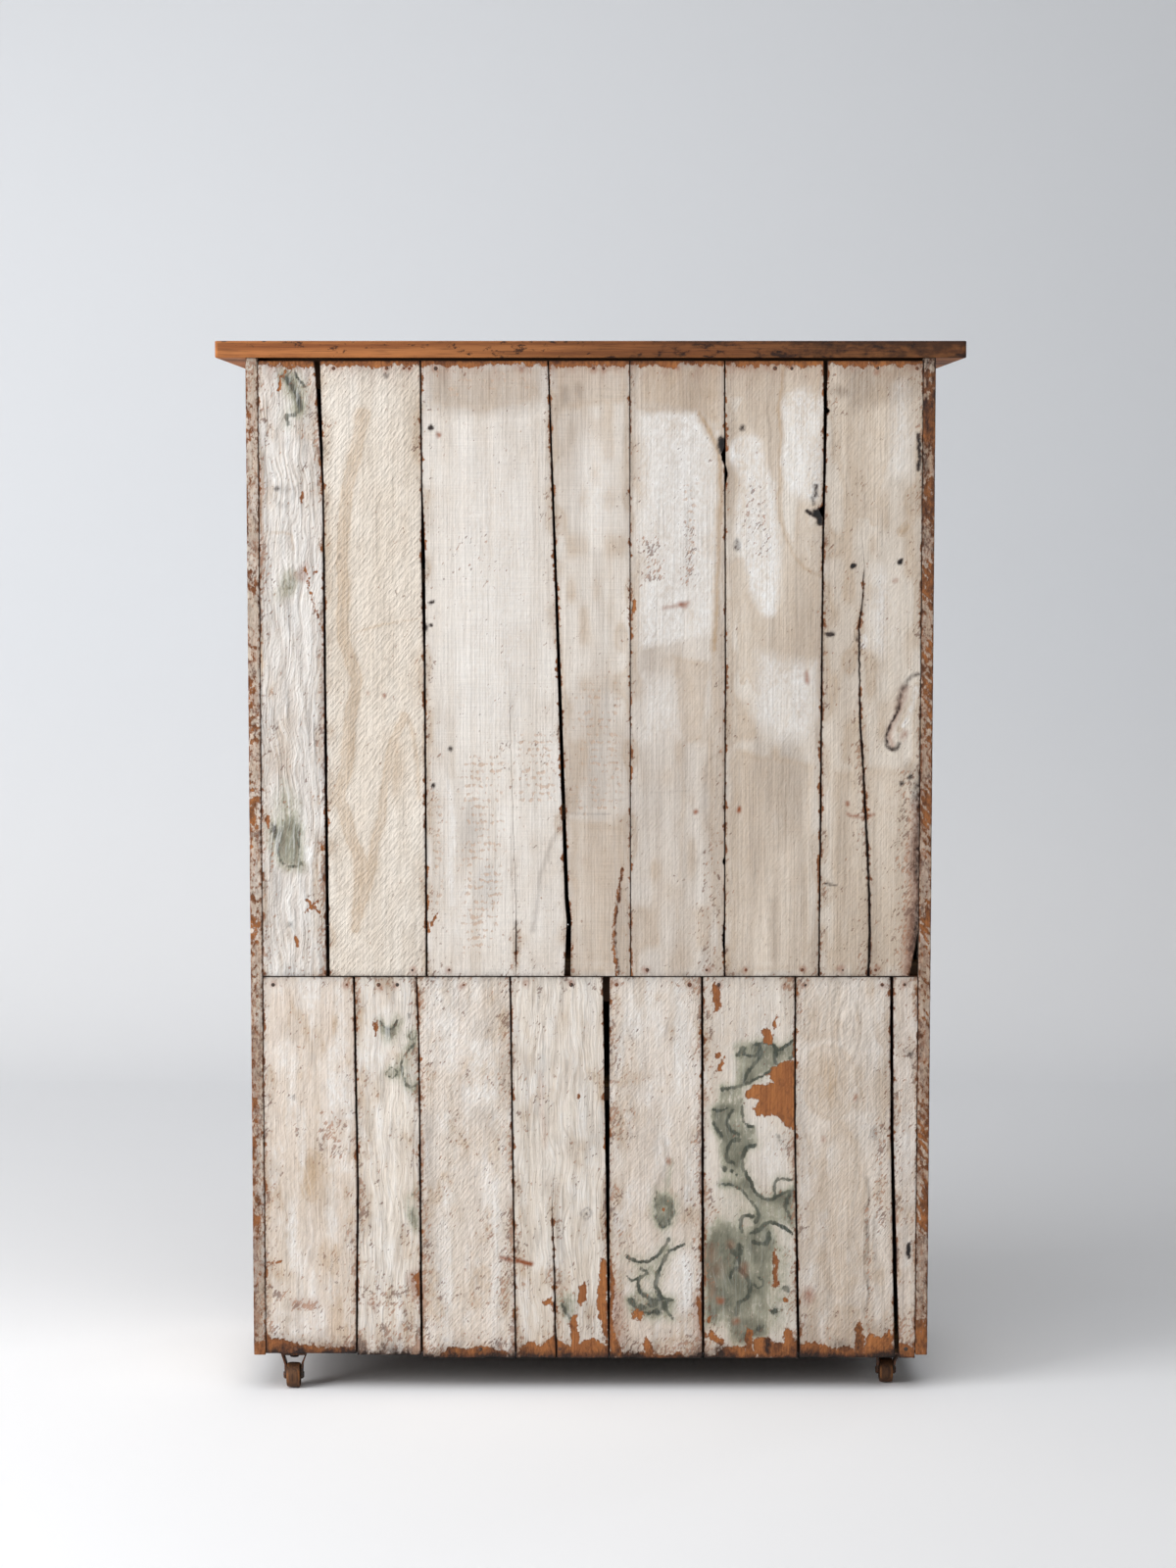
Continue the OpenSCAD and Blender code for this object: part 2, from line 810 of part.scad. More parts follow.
// Fork's outline across the axle: broad shoulders that draw in to two upright arms
function fork_front() = [
  [-fork_top_w / 2, fork_top_z],
  [fork_top_w / 2, fork_top_z],
  [arm_outer_x, wheel_r + fork_neck_h],
  [arm_outer_x, 0],
  [arm_inner_x, 0],
  [arm_inner_x, wheel_r + fork_neck_h],
  [fork_top_w / 2 - fork_t, fork_roof_z],
  [-fork_top_w / 2 + fork_t, fork_roof_z],
  [-arm_inner_x, wheel_r + fork_neck_h],
  [-arm_inner_x, 0],
  [-arm_outer_x, 0],
  [-arm_outer_x, wheel_r + fork_neck_h]
];

// Fork's outline along the axle's side: it leans back from the kingpin to a round eye
module fork_side() {
  polygon([
    [-fork_top_l / 2, fork_top_z],
    [fork_top_l / 2, fork_top_z],
    [caster_trail + fork_eye_r, wheel_r],
    [caster_trail - fork_eye_r, wheel_r]
  ]);
  translate([caster_trail, wheel_r])
    circle(fork_eye_r);
}

// Axle through the fork's arms, with a riveted end outside each arm
module axle() {
  rivet_r = (wheel_bore_r + fork_eye_r) / 2;
  translate([0, caster_trail, wheel_r])
    rotate([0, 90, 0]) {
      cylinder(r = wheel_bore_r - run_gap, h = 2 * (arm_outer_x + fixed_gap), center = true);
      for (side = [LEFT, RIGHT])
        translate([0, 0, side * (arm_outer_x + fixed_gap + axle_rivet_h / 2)])
          cylinder(r = rivet_r, h = axle_rivet_h, center = true);
    }
}

// Fork that turns on the kingpin and carries the axle
module caster_fork(place) {
  color("dimgray")
    at_caster(place) {
      difference() {
        intersection() {
          translate([0, fork_top_l + caster_trail, 0])
            rotate([90, 0, 0])
              linear_extrude(2 * (fork_top_l + caster_trail))
                polygon(fork_front());
          translate([-fork_top_w, 0, 0])
            rotate([90, 0, 90])
              linear_extrude(2 * fork_top_w)
                fork_side();
        }
        cylinder(r = kingpin_r + run_gap, h = caster_h);
        translate([0, caster_trail, wheel_r])
          rotate([0, 90, 0])
            cylinder(r = wheel_bore_r, h = 4 * arm_outer_x, center = true);
      }
      axle();
    }
}

// Half section of a wheel: radius, then place along the axle. Its hub stands out
// past the rim by one gap, and leaves one more to the fork's arm.
function wheel_section() = let (
  half = wheel_w / 2,
  rim_r = wheel_r - wheel_rim_t,
  web = half - wheel_dish
) concat(
  [[wheel_bore_r, -half - slide_gap], [wheel_hub_r, -half - slide_gap], [wheel_hub_r, -web], [rim_r, -web]],
  [[rim_r, -half]],
  [for (t = [-1 : 0.25 : 1]) [wheel_r - wheel_crown * t * t, half * t]],
  [[rim_r, half]],
  [[rim_r, web], [wheel_hub_r, web], [wheel_hub_r, half + slide_gap], [wheel_bore_r, half + slide_gap]]
);

// Turned wheel with a hub, a dished web and a crowned tread
module caster_wheel(place) {
  color("saddlebrown")
    at_caster(place)
      translate([0, caster_trail, wheel_r])
        rotate([0, 90, 0])
          rotate_extrude()
            polygon(wheel_section());
}

top_board();
side_board(LEFT);  // left_side_board
side_board(RIGHT);  // right_side_board
floor_board();
middle_shelf();
upper_shelves();
lower_shelf();
shelf_cleats();
back_rails();
outer_stile(LEFT);  // left_stile
outer_stile(RIGHT);  // right_stile
centre_stiles();
top_rail();
middle_rail();
bottom_rail();
upper_back_board(1);  // upper_back_board_1
upper_back_board(2);  // upper_back_board_2
upper_back_board(3);  // upper_back_board_3
upper_back_board(4);  // upper_back_board_4
upper_back_board(5);  // upper_back_board_5
upper_back_board(6);  // upper_back_board_6
upper_back_board(7);  // upper_back_board_7
lower_back_board(1);  // lower_back_board_1
lower_back_board(2);  // lower_back_board_2
lower_back_board(3);  // lower_back_board_3
lower_back_board(4);  // lower_back_board_4
lower_back_board(5);  // lower_back_board_5
lower_back_board(6);  // lower_back_board_6
lower_back_board(7);  // lower_back_board_7
lower_back_board(8);  // lower_back_board_8
door_frame(LEFT, upper_door_z, upper_door_h, upper_button_z - upper_knob_drop);  // upper_left_door_frame
door_panel(LEFT, upper_door_z, upper_door_h);  // upper_left_door_panel
knob(LEFT, upper_door_z, upper_button_z - upper_knob_drop);  // upper_left_knob
door_hinge_leaves(LEFT, upper_door_z, upper_door_h);  // upper_left_hinge_leaves
door_frame(RIGHT, upper_door_z, upper_door_h, upper_button_z - upper_knob_drop);  // upper_right_door_frame
door_panel(RIGHT, upper_door_z, upper_door_h);  // upper_right_door_panel
knob(RIGHT, upper_door_z, upper_button_z - upper_knob_drop);  // upper_right_knob
door_hinge_leaves(RIGHT, upper_door_z, upper_door_h);  // upper_right_hinge_leaves
door_frame(LEFT, lower_door_z, lower_door_h, lower_button_z - lower_knob_drop);  // lower_left_door_frame
door_panel(LEFT, lower_door_z, lower_door_h);  // lower_left_door_panel
knob(LEFT, lower_door_z, lower_button_z - lower_knob_drop);  // lower_left_knob
door_hinge_leaves(LEFT, lower_door_z, lower_door_h);  // lower_left_hinge_leaves
door_frame(RIGHT, lower_door_z, lower_door_h, lower_button_z - lower_knob_drop);  // lower_right_door_frame
door_panel(RIGHT, lower_door_z, lower_door_h);  // lower_right_door_panel
knob(RIGHT, lower_door_z, lower_button_z - lower_knob_drop);  // lower_right_knob
door_hinge_leaves(RIGHT, lower_door_z, lower_door_h);  // lower_right_hinge_leaves
case_hinge_leaves();
hinge_pins();
turn_button(upper_button_z);  // upper_turn_button
turn_button(lower_button_z);  // lower_turn_button
turn_button_screws();
caster_plates();
caster_fork(REAR_LEFT);  // rear_left_caster_fork
caster_wheel(REAR_LEFT);  // rear_left_caster_wheel
caster_fork(REAR_RIGHT);  // rear_right_caster_fork
caster_wheel(REAR_RIGHT);  // rear_right_caster_wheel
caster_fork(FRONT_LEFT);  // front_left_caster_fork
caster_wheel(FRONT_LEFT);  // front_left_caster_wheel
caster_fork(FRONT_RIGHT);  // front_right_caster_fork
caster_wheel(FRONT_RIGHT);  // front_right_caster_wheel
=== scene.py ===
"""Looks of a tall painted cupboard on casters, photographed from its boarded back.

Places on the back are written as the maker sets them out: millimetres across from the
right side board, then millimetres over the floor. Everything else is in metres.
"""

import json
import logging
import math
from dataclasses import dataclass, field
from enum import Enum
from typing import Sequence, Union

import bmesh
import bpy
import numpy as np
from mathutils import Matrix, Vector

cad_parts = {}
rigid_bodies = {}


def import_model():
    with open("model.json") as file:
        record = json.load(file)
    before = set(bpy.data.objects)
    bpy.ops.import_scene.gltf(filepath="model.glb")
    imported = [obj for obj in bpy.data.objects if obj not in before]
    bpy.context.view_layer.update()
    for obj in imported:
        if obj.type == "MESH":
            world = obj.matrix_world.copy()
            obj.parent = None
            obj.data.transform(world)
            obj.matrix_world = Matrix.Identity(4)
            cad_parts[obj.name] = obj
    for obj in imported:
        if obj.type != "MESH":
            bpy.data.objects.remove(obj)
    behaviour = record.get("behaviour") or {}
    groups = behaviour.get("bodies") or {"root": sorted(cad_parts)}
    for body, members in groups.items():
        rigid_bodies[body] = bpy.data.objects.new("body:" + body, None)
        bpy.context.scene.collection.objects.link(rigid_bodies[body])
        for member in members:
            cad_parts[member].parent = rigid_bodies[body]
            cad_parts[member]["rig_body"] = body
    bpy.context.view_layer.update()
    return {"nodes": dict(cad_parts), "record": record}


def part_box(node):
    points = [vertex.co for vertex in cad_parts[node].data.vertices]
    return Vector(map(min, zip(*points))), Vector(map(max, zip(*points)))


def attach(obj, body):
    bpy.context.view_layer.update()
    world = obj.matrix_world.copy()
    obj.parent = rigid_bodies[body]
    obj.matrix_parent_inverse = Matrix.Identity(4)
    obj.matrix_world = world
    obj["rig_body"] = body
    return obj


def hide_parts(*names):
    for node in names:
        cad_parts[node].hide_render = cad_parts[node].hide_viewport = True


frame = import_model()

log = logging.getLogger("cupboard")

MM = 0.001
Colour = tuple[float, float, float]
Place = tuple[float, float]
Place3 = tuple[float, float, float]
Number = Union["Value", float]
Socket = bpy.types.NodeSocket
Array = np.ndarray

# The lean of the brush marks over level, and the turns over which edges are shaded sharp, in degrees
BRUSH_LEAN = 52.0
WORN_TURN = 50.0
EASED_TURN = 32.0
HEAD_TURN = 35.0


def shade(red: float, green: float, blue: float) -> Colour:
    """Returns the linear colour of a paint chip given in steps of 0 to 255, by the sRGB curve."""
    return tuple(((step / 255 + 0.055) / 1.055) ** 2.4 for step in (red, green, blue))


class Value:
    """One number output of a material, on which Python's operators build Math nodes."""

    def __init__(self, tree: "Tree", socket: Socket) -> None:
        """Wraps an output socket of a tree."""
        self.tree = tree
        self.socket = socket

    def joined(self, operation: str, first: Number, second: Number, clamp: bool = False) -> "Value":
        """Adds a Math node.

        Args:
            operation: Name of the Math node's operation.
            first: Left operand.
            second: Right operand.
            clamp: Whether the result is kept between 0 and 1.

        Returns:
            The node's result.
        """
        settings = {"operation": operation, "use_clamp": clamp}
        return Value(self.tree, self.tree.node("ShaderNodeMath", settings, {0: first, 1: second}).outputs[0])

    def __add__(self, other: Number) -> "Value":
        """Returns self + other."""
        return self.joined("ADD", self, other)

    def __radd__(self, other: Number) -> "Value":
        """Returns other + self."""
        return self.joined("ADD", other, self)

    def __sub__(self, other: Number) -> "Value":
        """Returns self - other."""
        return self.joined("SUBTRACT", self, other)

    def __rsub__(self, other: Number) -> "Value":
        """Returns other - self."""
        return self.joined("SUBTRACT", other, self)

    def __mul__(self, other: Number) -> "Value":
        """Returns self * other."""
        return self.joined("MULTIPLY", self, other)

    def __rmul__(self, other: Number) -> "Value":
        """Returns other * self."""
        return self.joined("MULTIPLY", other, self)

    def size(self) -> "Value":
        """Returns the value without its sign."""
        return self.joined("ABSOLUTE", self, 0.0)

    def clamped(self) -> "Value":
        """Returns the value kept between 0 and 1."""
        return self.joined("ADD", self, 0.0, clamp=True)

    def least(self, other: Number) -> "Value":
        """Returns the smaller of the two."""
        return self.joined("MINIMUM", self, other)

    def most(self, other: Number) -> "Value":
        """Returns the larger of the two."""
        return self.joined("MAXIMUM", self, other)

    def above(self, edge: float, soft: float) -> "Value":
        """Returns 0 under edge - soft, 1 over edge + soft, and a smooth step between."""
        made = self.tree.node(
            "ShaderNodeMapRange",
            {"interpolation_type": "SMOOTHSTEP"},
            {"Value": self, "From Min": edge - soft, "From Max": edge + soft},
        )
        return Value(self.tree, made.outputs[0])


class Tree:
    """Builds the nodes of a material, a world or a geometry group."""

    def __init__(self, owner: bpy.types.ID) -> None:
        """Empties the nodes of a new material, world or group."""
        self.owner = owner
        tree = owner
        if not isinstance(owner, bpy.types.NodeTree):
            owner.use_nodes = True
            tree = owner.node_tree
        self.nodes, self.links = tree.nodes, tree.links
        self.nodes.clear()

    def node(self, kind: str, settings: dict | None = None, inputs: dict | None = None) -> bpy.types.Node:
        """Adds a node of any type.

        Args:
            kind: Type of the node.
            settings: Its properties, set first.
            inputs: Value, socket or constant for each input, by name or number.

        Returns:
            The node.
        """
        made = self.nodes.new(kind)
        for name, setting in (settings or {}).items():
            setattr(made, name, setting)
        for key, given in (inputs or {}).items():
            socket = made.inputs[key]
            if isinstance(given, Value):
                self.links.new(given.socket, socket)
            elif isinstance(given, Socket):
                self.links.new(given, socket)
            elif socket.type == "RGBA" and len(given) == 3:
                socket.default_value = (*given, 1.0)
            else:
                socket.default_value = given
        return made

    def attribute(self, name: str) -> Socket:
        """Returns a vector that is stored on the piece's points."""
        return self.node("ShaderNodeAttribute", {"attribute_name": name}).outputs["Vector"]

    def parts(self, vector: Socket) -> tuple[Value, Value, Value]:
        """Returns the three numbers of a vector."""
        made = self.node("ShaderNodeSeparateXYZ", None, {0: vector})
        return tuple(Value(self, socket) for socket in made.outputs)

    def vector(self, x: Number, y: Number, z: Number) -> Socket:
        """Returns the vector of three numbers."""
        return self.node("ShaderNodeCombineXYZ", None, {0: x, 1: y, 2: z}).outputs[0]

    def between(self, operation: str, first: object, second: object) -> Socket:
        """Returns the result of a Vector Math node on two vectors."""
        return self.node("ShaderNodeVectorMath", {"operation": operation}, {0: first, 1: second}).outputs[0]

    def noise(
        self, at: Socket, across: float, along: float, detail: float = 2.0, rough: float = 0.5
    ) -> Value:
        """Adds a noise pattern on the wood's own coordinates.

        Args:
            at: Coordinates in metres: across, through and along the grain.
            across: Waves per metre across the grain, and through it.
            along: Waves per metre along the grain.
            detail: Finer layers.
            rough: Strength of each finer layer.

        Returns:
            Values round 0.5.
        """
        scaled = self.between("MULTIPLY", at, (across, across, along))
        inputs = {"Vector": scaled, "Scale": 1.0, "Detail": detail, "Roughness": rough}
        return Value(self, self.node("ShaderNodeTexNoise", None, inputs).outputs[0])

    def blend(self, share: Number, first: object, second: object) -> Socket:
        """Returns the colour that goes from first to second as share goes from 0 to 1."""
        return self.node("ShaderNodeMix", {"data_type": "RGBA"}, {0: share, 6: first, 7: second}).outputs[2]

    def darken(self, share: Number, colour: object) -> Socket:
        """Returns a colour multiplied by a number."""
        grey = self.vector(share, share, share)
        settings = {"data_type": "RGBA", "blend_type": "MULTIPLY"}
        return self.node("ShaderNodeMix", settings, {0: 1.0, 6: colour, 7: grey}).outputs[2]

    def surface(
        self, colour: object, rough: Number, height: Value, metal: Number = 0.0, gloss: float = 0.5
    ) -> bpy.types.Material:
        """Closes the material with its shader.

        Args:
            colour: Base colour.
            rough: Roughness.
            height: Relief in metres.
            metal: How metallic it is.
            gloss: Strength of its reflections, the same all over.

        Returns:
            The finished material.
        """
        inputs = {"Base Color": colour, "Roughness": rough, "Metallic": metal, "Specular IOR Level": gloss}
        bump = self.node("ShaderNodeBump", None, {"Distance": 1.0, "Height": height})
        inputs["Normal"] = bump.outputs[0]
        shader = self.node("ShaderNodeBsdfPrincipled", None, inputs)
        self.node("ShaderNodeOutputMaterial", None, {0: shader.outputs[0]})
        return self.owner


class WoodSpace:
    """A wooden piece's own coordinates in a material, with the distance to its nearest arris."""

    def __init__(self, tree: Tree) -> None:
        """Reads the coordinates that each wooden piece carries on its points."""
        self.at = tree.attribute("wood")
        self.across, self.through, self.along = tree.parts(self.at)
        offset = tree.between("SUBTRACT", self.at, tree.attribute("middle"))
        offset = tree.between("ABSOLUTE", offset, (0, 0, 0))
        x, y, z = tree.parts(tree.between("SUBTRACT", tree.attribute("half"), offset))
        self.arris = x.least(y).most(x.most(y).least(z))

    def slanted(self, tree: Tree) -> Socket:
        """Returns coordinates for brush marks, which lean from the grain."""
        lean = math.radians(BRUSH_LEAN)
        side = self.across * math.sin(lean) - self.along * math.cos(lean)
        run = self.across * math.cos(lean) + self.along * math.sin(lean)
        return tree.vector(side, self.through, run)


@dataclass(frozen=True)
class AgedPaint:
    """Thick old cream paint on pine, with its losses, stains and the remains of an ornament, and with painted
    shade and painted highlights in its relief, splits, holes and gaps.
    """

    name: str = "aged_paint"
    cream: Colour = shade(236, 228, 217)
    deep: Colour = shade(214, 200, 183)
    pink: Colour = shade(222, 204, 193)
    cool: Colour = shade(222, 221, 221)
    tan: Colour = shade(186, 158, 126)
    dull: Colour = shade(158, 147, 141)
    grey: Colour = shade(140, 134, 130)
    rust: Colour = shade(142, 78, 44)
    wash: Colour = shade(166, 164, 143)
    wash_deep: Colour = shade(93, 95, 77)
    line: Colour = shade(64, 69, 58)
    white: Colour = shade(240, 238, 235)
    # Colour of grime, also used as painted shade in the gaps between boards, in splits and in holes
    grime_and_shade: Colour = shade(44, 30, 24)
    chip: Colour = shade(172, 126, 98)
    chip_dark: Colour = shade(116, 84, 70)
    # Colour painted into the furrows of the raised grain as their shade
    saw_chip: Colour = shade(192, 160, 136)
    furrow_shade: Colour = shade(150, 128, 112)
    wood: Colour = shade(176, 112, 62)
    wood_dark: Colour = shade(144, 88, 50)
    wood_deep: Colour = shade(96, 56, 36)
    arris_loss: float = 0.0010
    arris_fade: float = 0.005
    brush_height: float = 0.0020
    grain_height: float = 0.0007
    ridge_height: float = 0.0021
    saw_pitch: float = 0.0098
    loss_depth: float = 0.0005

    def broken(self, mark: Value, noise: Value, edge: float, soft: float, depth: float = 2.4) -> Value:
        """Returns a mark with its outline broken up by a noise."""
        return (mark + (noise - 0.5) * depth * (mark * 6).clamped()).above(edge, soft)

    def material(self) -> bpy.types.Material:
        """Returns the paint's material."""
        t = Tree(bpy.data.materials.new(self.name))
        space = WoodSpace(t)
        bare_mark, fleck_mark, grime_and_shade_mark = t.parts(t.attribute("wear"))
        tan_mark, rust_mark, grey_mark = t.parts(t.attribute("stain"))
        wash_mark, line_mark, white_mark = t.parts(t.attribute("figure"))
        hatch_mark, tone, brushed = t.parts(t.attribute("board"))
        grain, sawn, shaded = t.parts(t.attribute("relief"))

        broad = t.noise(space.at, 11, 4, 3)
        streak = t.noise(space.at, 55, 2.6, 3)
        fibre = t.noise(space.at, 330, 9, 3)
        chips = t.noise(space.at, 190, 130, 5, 0.65)
        slanted = space.slanted(t)
        brush = t.noise(slanted, 340, 95, 3)
        scars = t.noise(slanted, 420, 150, 2)
        cloud = t.noise(space.at, 60, 45, 2)

        reach = broad * 2 * self.arris_loss + chips * self.arris_loss
        lost = bare_mark.most((reach - space.arris) * (1 / self.arris_fade) + 0.25)
        bare = self.broken(lost, chips, 0.5, 0.05)
        rim = self.broken(lost, chips, 0.36, 0.10)
        specks = chips * 0.5 + scars * 0.5 + fleck_mark * 0.13 + (cloud - 0.5) * 0.16
        fleck = specks.above(0.662, 0.028)
        bend = t.noise(space.at, 14, 7, 2) - 0.5
        curl = t.noise(space.at, 60, 26, 2) - 0.5
        wavy = t.vector(space.across + bend * 0.050 + curl * 0.010, space.through, space.along + bend * 0.02)
        ridge = t.noise(wavy, 310, 18, 3)
        furrow_shade = (0.5 - ridge).above(0.04, 0.09) * grain
        angle = (space.along + curl * 0.012) * (math.tau / self.saw_pitch)
        rows = angle.joined("SINE", angle, 0.0)
        teeth = t.noise(space.at, 230, 160, 2)
        crest = rows * 0.13 + (teeth - 0.5) * 1.1 + (hatch_mark - 1) * 0.25 + (cloud - 0.5) * 0.5
        hatch = crest.above(0.15, 0.09) * hatch_mark.clamped()
        threads = t.noise(space.at, 18, 520, 2) - 0.5
        pits = (0.5 - brush).above(0.02, 0.08) * brushed
        aged = (fibre + chips + streak - 1.5) * 0.9

        base = t.blend(broad.above(0.5, 0.16) * 0.5, self.cream, self.deep)
        base = t.blend(tone.clamped(), base, self.pink)
        base = t.blend((tone * -1).clamped(), base, self.cool)
        base = t.blend(streak.above(0.55, 0.14) * 0.4, base, self.deep)
        base = t.blend((grey_mark * (fibre * 1.2 + 0.2)).clamped(), base, self.grey)
        tide = (1 - (tan_mark - 0.4).size() * 9).clamped() * 0.25
        base = t.blend(((tan_mark + tide) * (broad * 0.7 + cloud * 0.5 + 0.25)).clamped(), base, self.tan)
        # Darker in the pits of the brush marks: painted shade
        base = t.darken(1.03 - (fibre - 0.5).size() * 0.35 - pits * 0.13 - aged * 0.2, base)
        dulled = (0.10 + (broad - 0.4) * 0.9 + (streak - 0.5) * 0.8).clamped()
        base = t.blend(shaded * dulled, base, self.dull)
        base = t.blend((white_mark * (chips * 2.2 + streak * 1.4 + cloud - 1.65)).clamped(), base, self.white)
        deep_wash = t.blend((wash_mark - 0.75 + (cloud - 0.5) * 1.4).clamped(), self.wash, self.wash_deep)
        base = t.blend((wash_mark * ((chips - 0.5) * 3.0 + 0.95)).clamped() * 0.92, base, deep_wash)
        drawn = self.broken(line_mark, chips, 0.42, 0.2, 1.2) * (cloud * 1.5 + 0.12)
        base = t.blend(drawn.clamped(), base, self.line)
        # Painted shade in the furrows of the raised grain
        base = t.blend(furrow_shade * 0.3, base, self.furrow_shade)
        # Painted highlight: white on the crests of the raised grain
        base = t.blend(((ridge - 0.53) * 5 * grain).clamped() * 0.55, base, self.white)
        base = t.darken(1 + threads * sawn * (cloud * 0.8 - 0.1), base)
        base = t.blend(hatch * 0.62, base, self.saw_chip)
        base = t.blend((rust_mark * (chips * 1.4 + 0.2)).clamped(), base, self.rust)
        chip = t.blend(cloud.above(0.55, 0.08), self.chip, self.chip_dark)
        base = t.blend(fleck * 0.7, base, chip)
        wood = t.blend((fibre * 0.4 + streak * 0.6).above(0.5, 0.14), self.wood, self.wood_dark)
        darkest = (chips - 0.5) * 2.4 + (cloud - 0.5) * 1.6 + grime_and_shade_mark * 0.8
        wood = t.blend(darkest.clamped(), wood, self.wood_deep)
        base = t.blend(rim * 0.75, base, self.wood_dark)
        base = t.blend(bare, base, wood)
        # The grime mark is real dirt, and painted shade on the walls of the gaps, in splits and in holes
        dirt = (grime_and_shade_mark * ((chips - 0.5) * 2.4 + 0.85)).clamped()
        base = t.blend(dirt * 0.97, base, self.grime_and_shade)
        # Marks over 1.35 are darkened nearly to black: painted shade of knot holes and splits
        base = t.darken(1 - ((grime_and_shade_mark - 1.35) * 2.5).clamped() * 0.88, base)

        height = brush * brushed * self.brush_height + fibre * self.grain_height - bare * self.loss_depth
        height = height - fleck * 0.0003 - hatch * 0.0003 + chips * 0.0004 + ridge * grain * self.ridge_height
        height = height + threads * sawn * 0.00015
        rough = 0.6 + fibre * 0.2 + bare * 0.12
        return t.surface(base, rough, height, gloss=0.35)


@dataclass(frozen=True)
class WornWood:
    """Bare, stained or waxed wood with its grain, worn lighter or darker at the arrises."""

    name: str
    pale: Colour
    dark: Colour
    dirt: Colour
    gloss: float = 0.3
    rough: float = 0.7
    rings: float = 90.0
    arris_wear: float = 0.5
    arris_fade: float = 0.004
    worn: Colour = shade(196, 128, 70)
    speckle: float = 0.0
    # Colour of black dirt, and of painted shade on pieces seen through the back's gaps
    soot_and_shade: Colour = shade(38, 20, 12)

    def material(self) -> bpy.types.Material:
        """Returns the wood's material."""
        t = Tree(bpy.data.materials.new(self.name))
        space = WoodSpace(t)
        broad = t.noise(space.at, 14, 3, 3)
        rings = t.noise(space.at, self.rings, 2.2, 2)
        pores = t.noise(space.at, 700, 24, 2)
        blots = t.noise(space.at, 120, 70, 4, 0.65)
        colour = t.blend(rings.above(0.5, 0.17), self.pale, self.dark)
        colour = t.blend(pores.above(0.6, 0.12) * 0.5, colour, self.dirt)
        colour = t.blend(broad.above(0.56, 0.16) * 0.45, colour, self.dirt)
        near = (1 - space.arris * (1 / self.arris_fade) + (blots - 0.5) * 1.6).clamped()
        colour = t.blend(near * self.arris_wear, colour, self.worn)
        spots = (blots + (broad - 0.5) * 0.5).above(0.62, 0.05) * self.speckle
        colour = t.blend(spots, colour, self.dirt)
        # The dark mark is real dirt on the top board's rear edge, and painted shade on rails and shelves seen
        # through the gaps and beneath the floor board
        dirt_and_shade_mark = t.parts(t.attribute("wear"))[2]
        colour = t.darken(1 - dirt_and_shade_mark.clamped() * 0.72, colour)
        dirt = (dirt_and_shade_mark + (blots - 0.5) * 2.0 * (dirt_and_shade_mark * 5).clamped()).above(0.8, 0.3)
        colour = t.blend(dirt * 0.7, colour, self.soot_and_shade)
        height = rings * 0.0002 + pores * 0.0002 - spots * 0.0002
        return t.surface(colour, self.rough + blots * 0.15, height, gloss=self.gloss)


@dataclass(frozen=True)
class Iron:
    """Dark old iron with rust in its pits."""

    name: str = "dark_iron"
    bare: Colour = shade(70, 62, 56)
    rust: Colour = shade(116, 70, 44)

    def material(self) -> bpy.types.Material:
        """Returns the iron's material."""
        t = Tree(bpy.data.materials.new(self.name))
        at = t.node("ShaderNodeTexCoord").outputs["Object"]
        pits = t.noise(at, 500, 500, 4, 0.6)
        broad = t.noise(at, 60, 60, 3)
        rust = (pits * 0.5 + broad * 0.6).above(0.56, 0.07)
        colour = t.blend(rust, self.bare, self.rust)
        return t.surface(colour, 0.5 + rust * 0.3, pits * 0.0002, metal=0.75 - rust * 0.7)


class Finishes:
    """The finishes of the cupboard, one material each."""

    def __init__(self) -> None:
        """Makes every material once."""
        shelf, shelf_wear = shade(196, 154, 104), shade(150, 112, 74)
        kinds = (
            AgedPaint(),
            WornWood("stained_pine", shade(184, 118, 68), shade(138, 80, 42), shade(62, 34, 20), speckle=0.9),
            WornWood("bare_pine", shelf, shade(166, 118, 72), shade(112, 80, 52), worn=shelf_wear),
            WornWood("turned_wood", shade(128, 78, 44), shade(88, 50, 28), shade(48, 28, 18), 0.5, 0.42, 160),
            WornWood("caster_wood", shade(104, 70, 44), shade(70, 46, 30), shade(40, 26, 18), 0.3, 0.6, 300),
            Iron(),
        )
        self.made = {kind.name: kind.material() for kind in kinds}

    def dress(self, piece: bpy.types.Object, slot: str) -> None:
        """Gives a piece the finish of one of the record's slots."""
        piece.data.materials.clear()
        piece.data.materials.append(self.made[slot])


def linked(name: str, data: bpy.types.ID) -> bpy.types.Object:
    """Returns a new object of the scene that shows a mesh, lamp or camera."""
    made = bpy.data.objects.new(name, data)
    bpy.context.scene.collection.objects.link(made)
    return made


def settled_mesh(source: bpy.types.Object, modifier: bpy.types.Modifier) -> bpy.types.Mesh:
    """Returns the mesh that a modifier makes, and removes the modifier and its object."""
    settled = source.evaluated_get(bpy.context.evaluated_depsgraph_get())
    mesh = bpy.data.meshes.new_from_object(settled)
    source.modifiers.remove(modifier)
    bpy.data.objects.remove(source)
    return mesh


def put_vectors(mesh: bpy.types.Mesh, name: str, values: Array) -> None:
    """Stores one vector for each point of a mesh."""
    made = mesh.attributes.new(name, "FLOAT_VECTOR", "POINT")
    made.data.foreach_set("vector", values.astype(np.float32).ravel())


def points_of(mesh: bpy.types.Mesh) -> Array:
    """Returns the places of a mesh's points, in metres."""
    places = np.zeros(len(mesh.vertices) * 3)
    mesh.vertices.foreach_get("co", places)
    return places.reshape(-1, 3)


def slice_across(shape: bmesh.types.BMesh, level: float, slack: float) -> None:
    """Cuts a shape through at one place along Y."""
    everything = [*shape.verts, *shape.edges, *shape.faces]
    bmesh.ops.bisect_plane(shape, geom=everything, plane_co=(0, level, 0), plane_no=(0, 1, 0), dist=slack)


def smooth_between_arrises(mesh: bpy.types.Mesh, degrees: float) -> None:
    """Shades a mesh smooth, with sharp edges where its faces turn by more than degrees."""
    mesh.shade_smooth()
    mesh.set_sharp_from_angle(angle=math.radians(degrees))


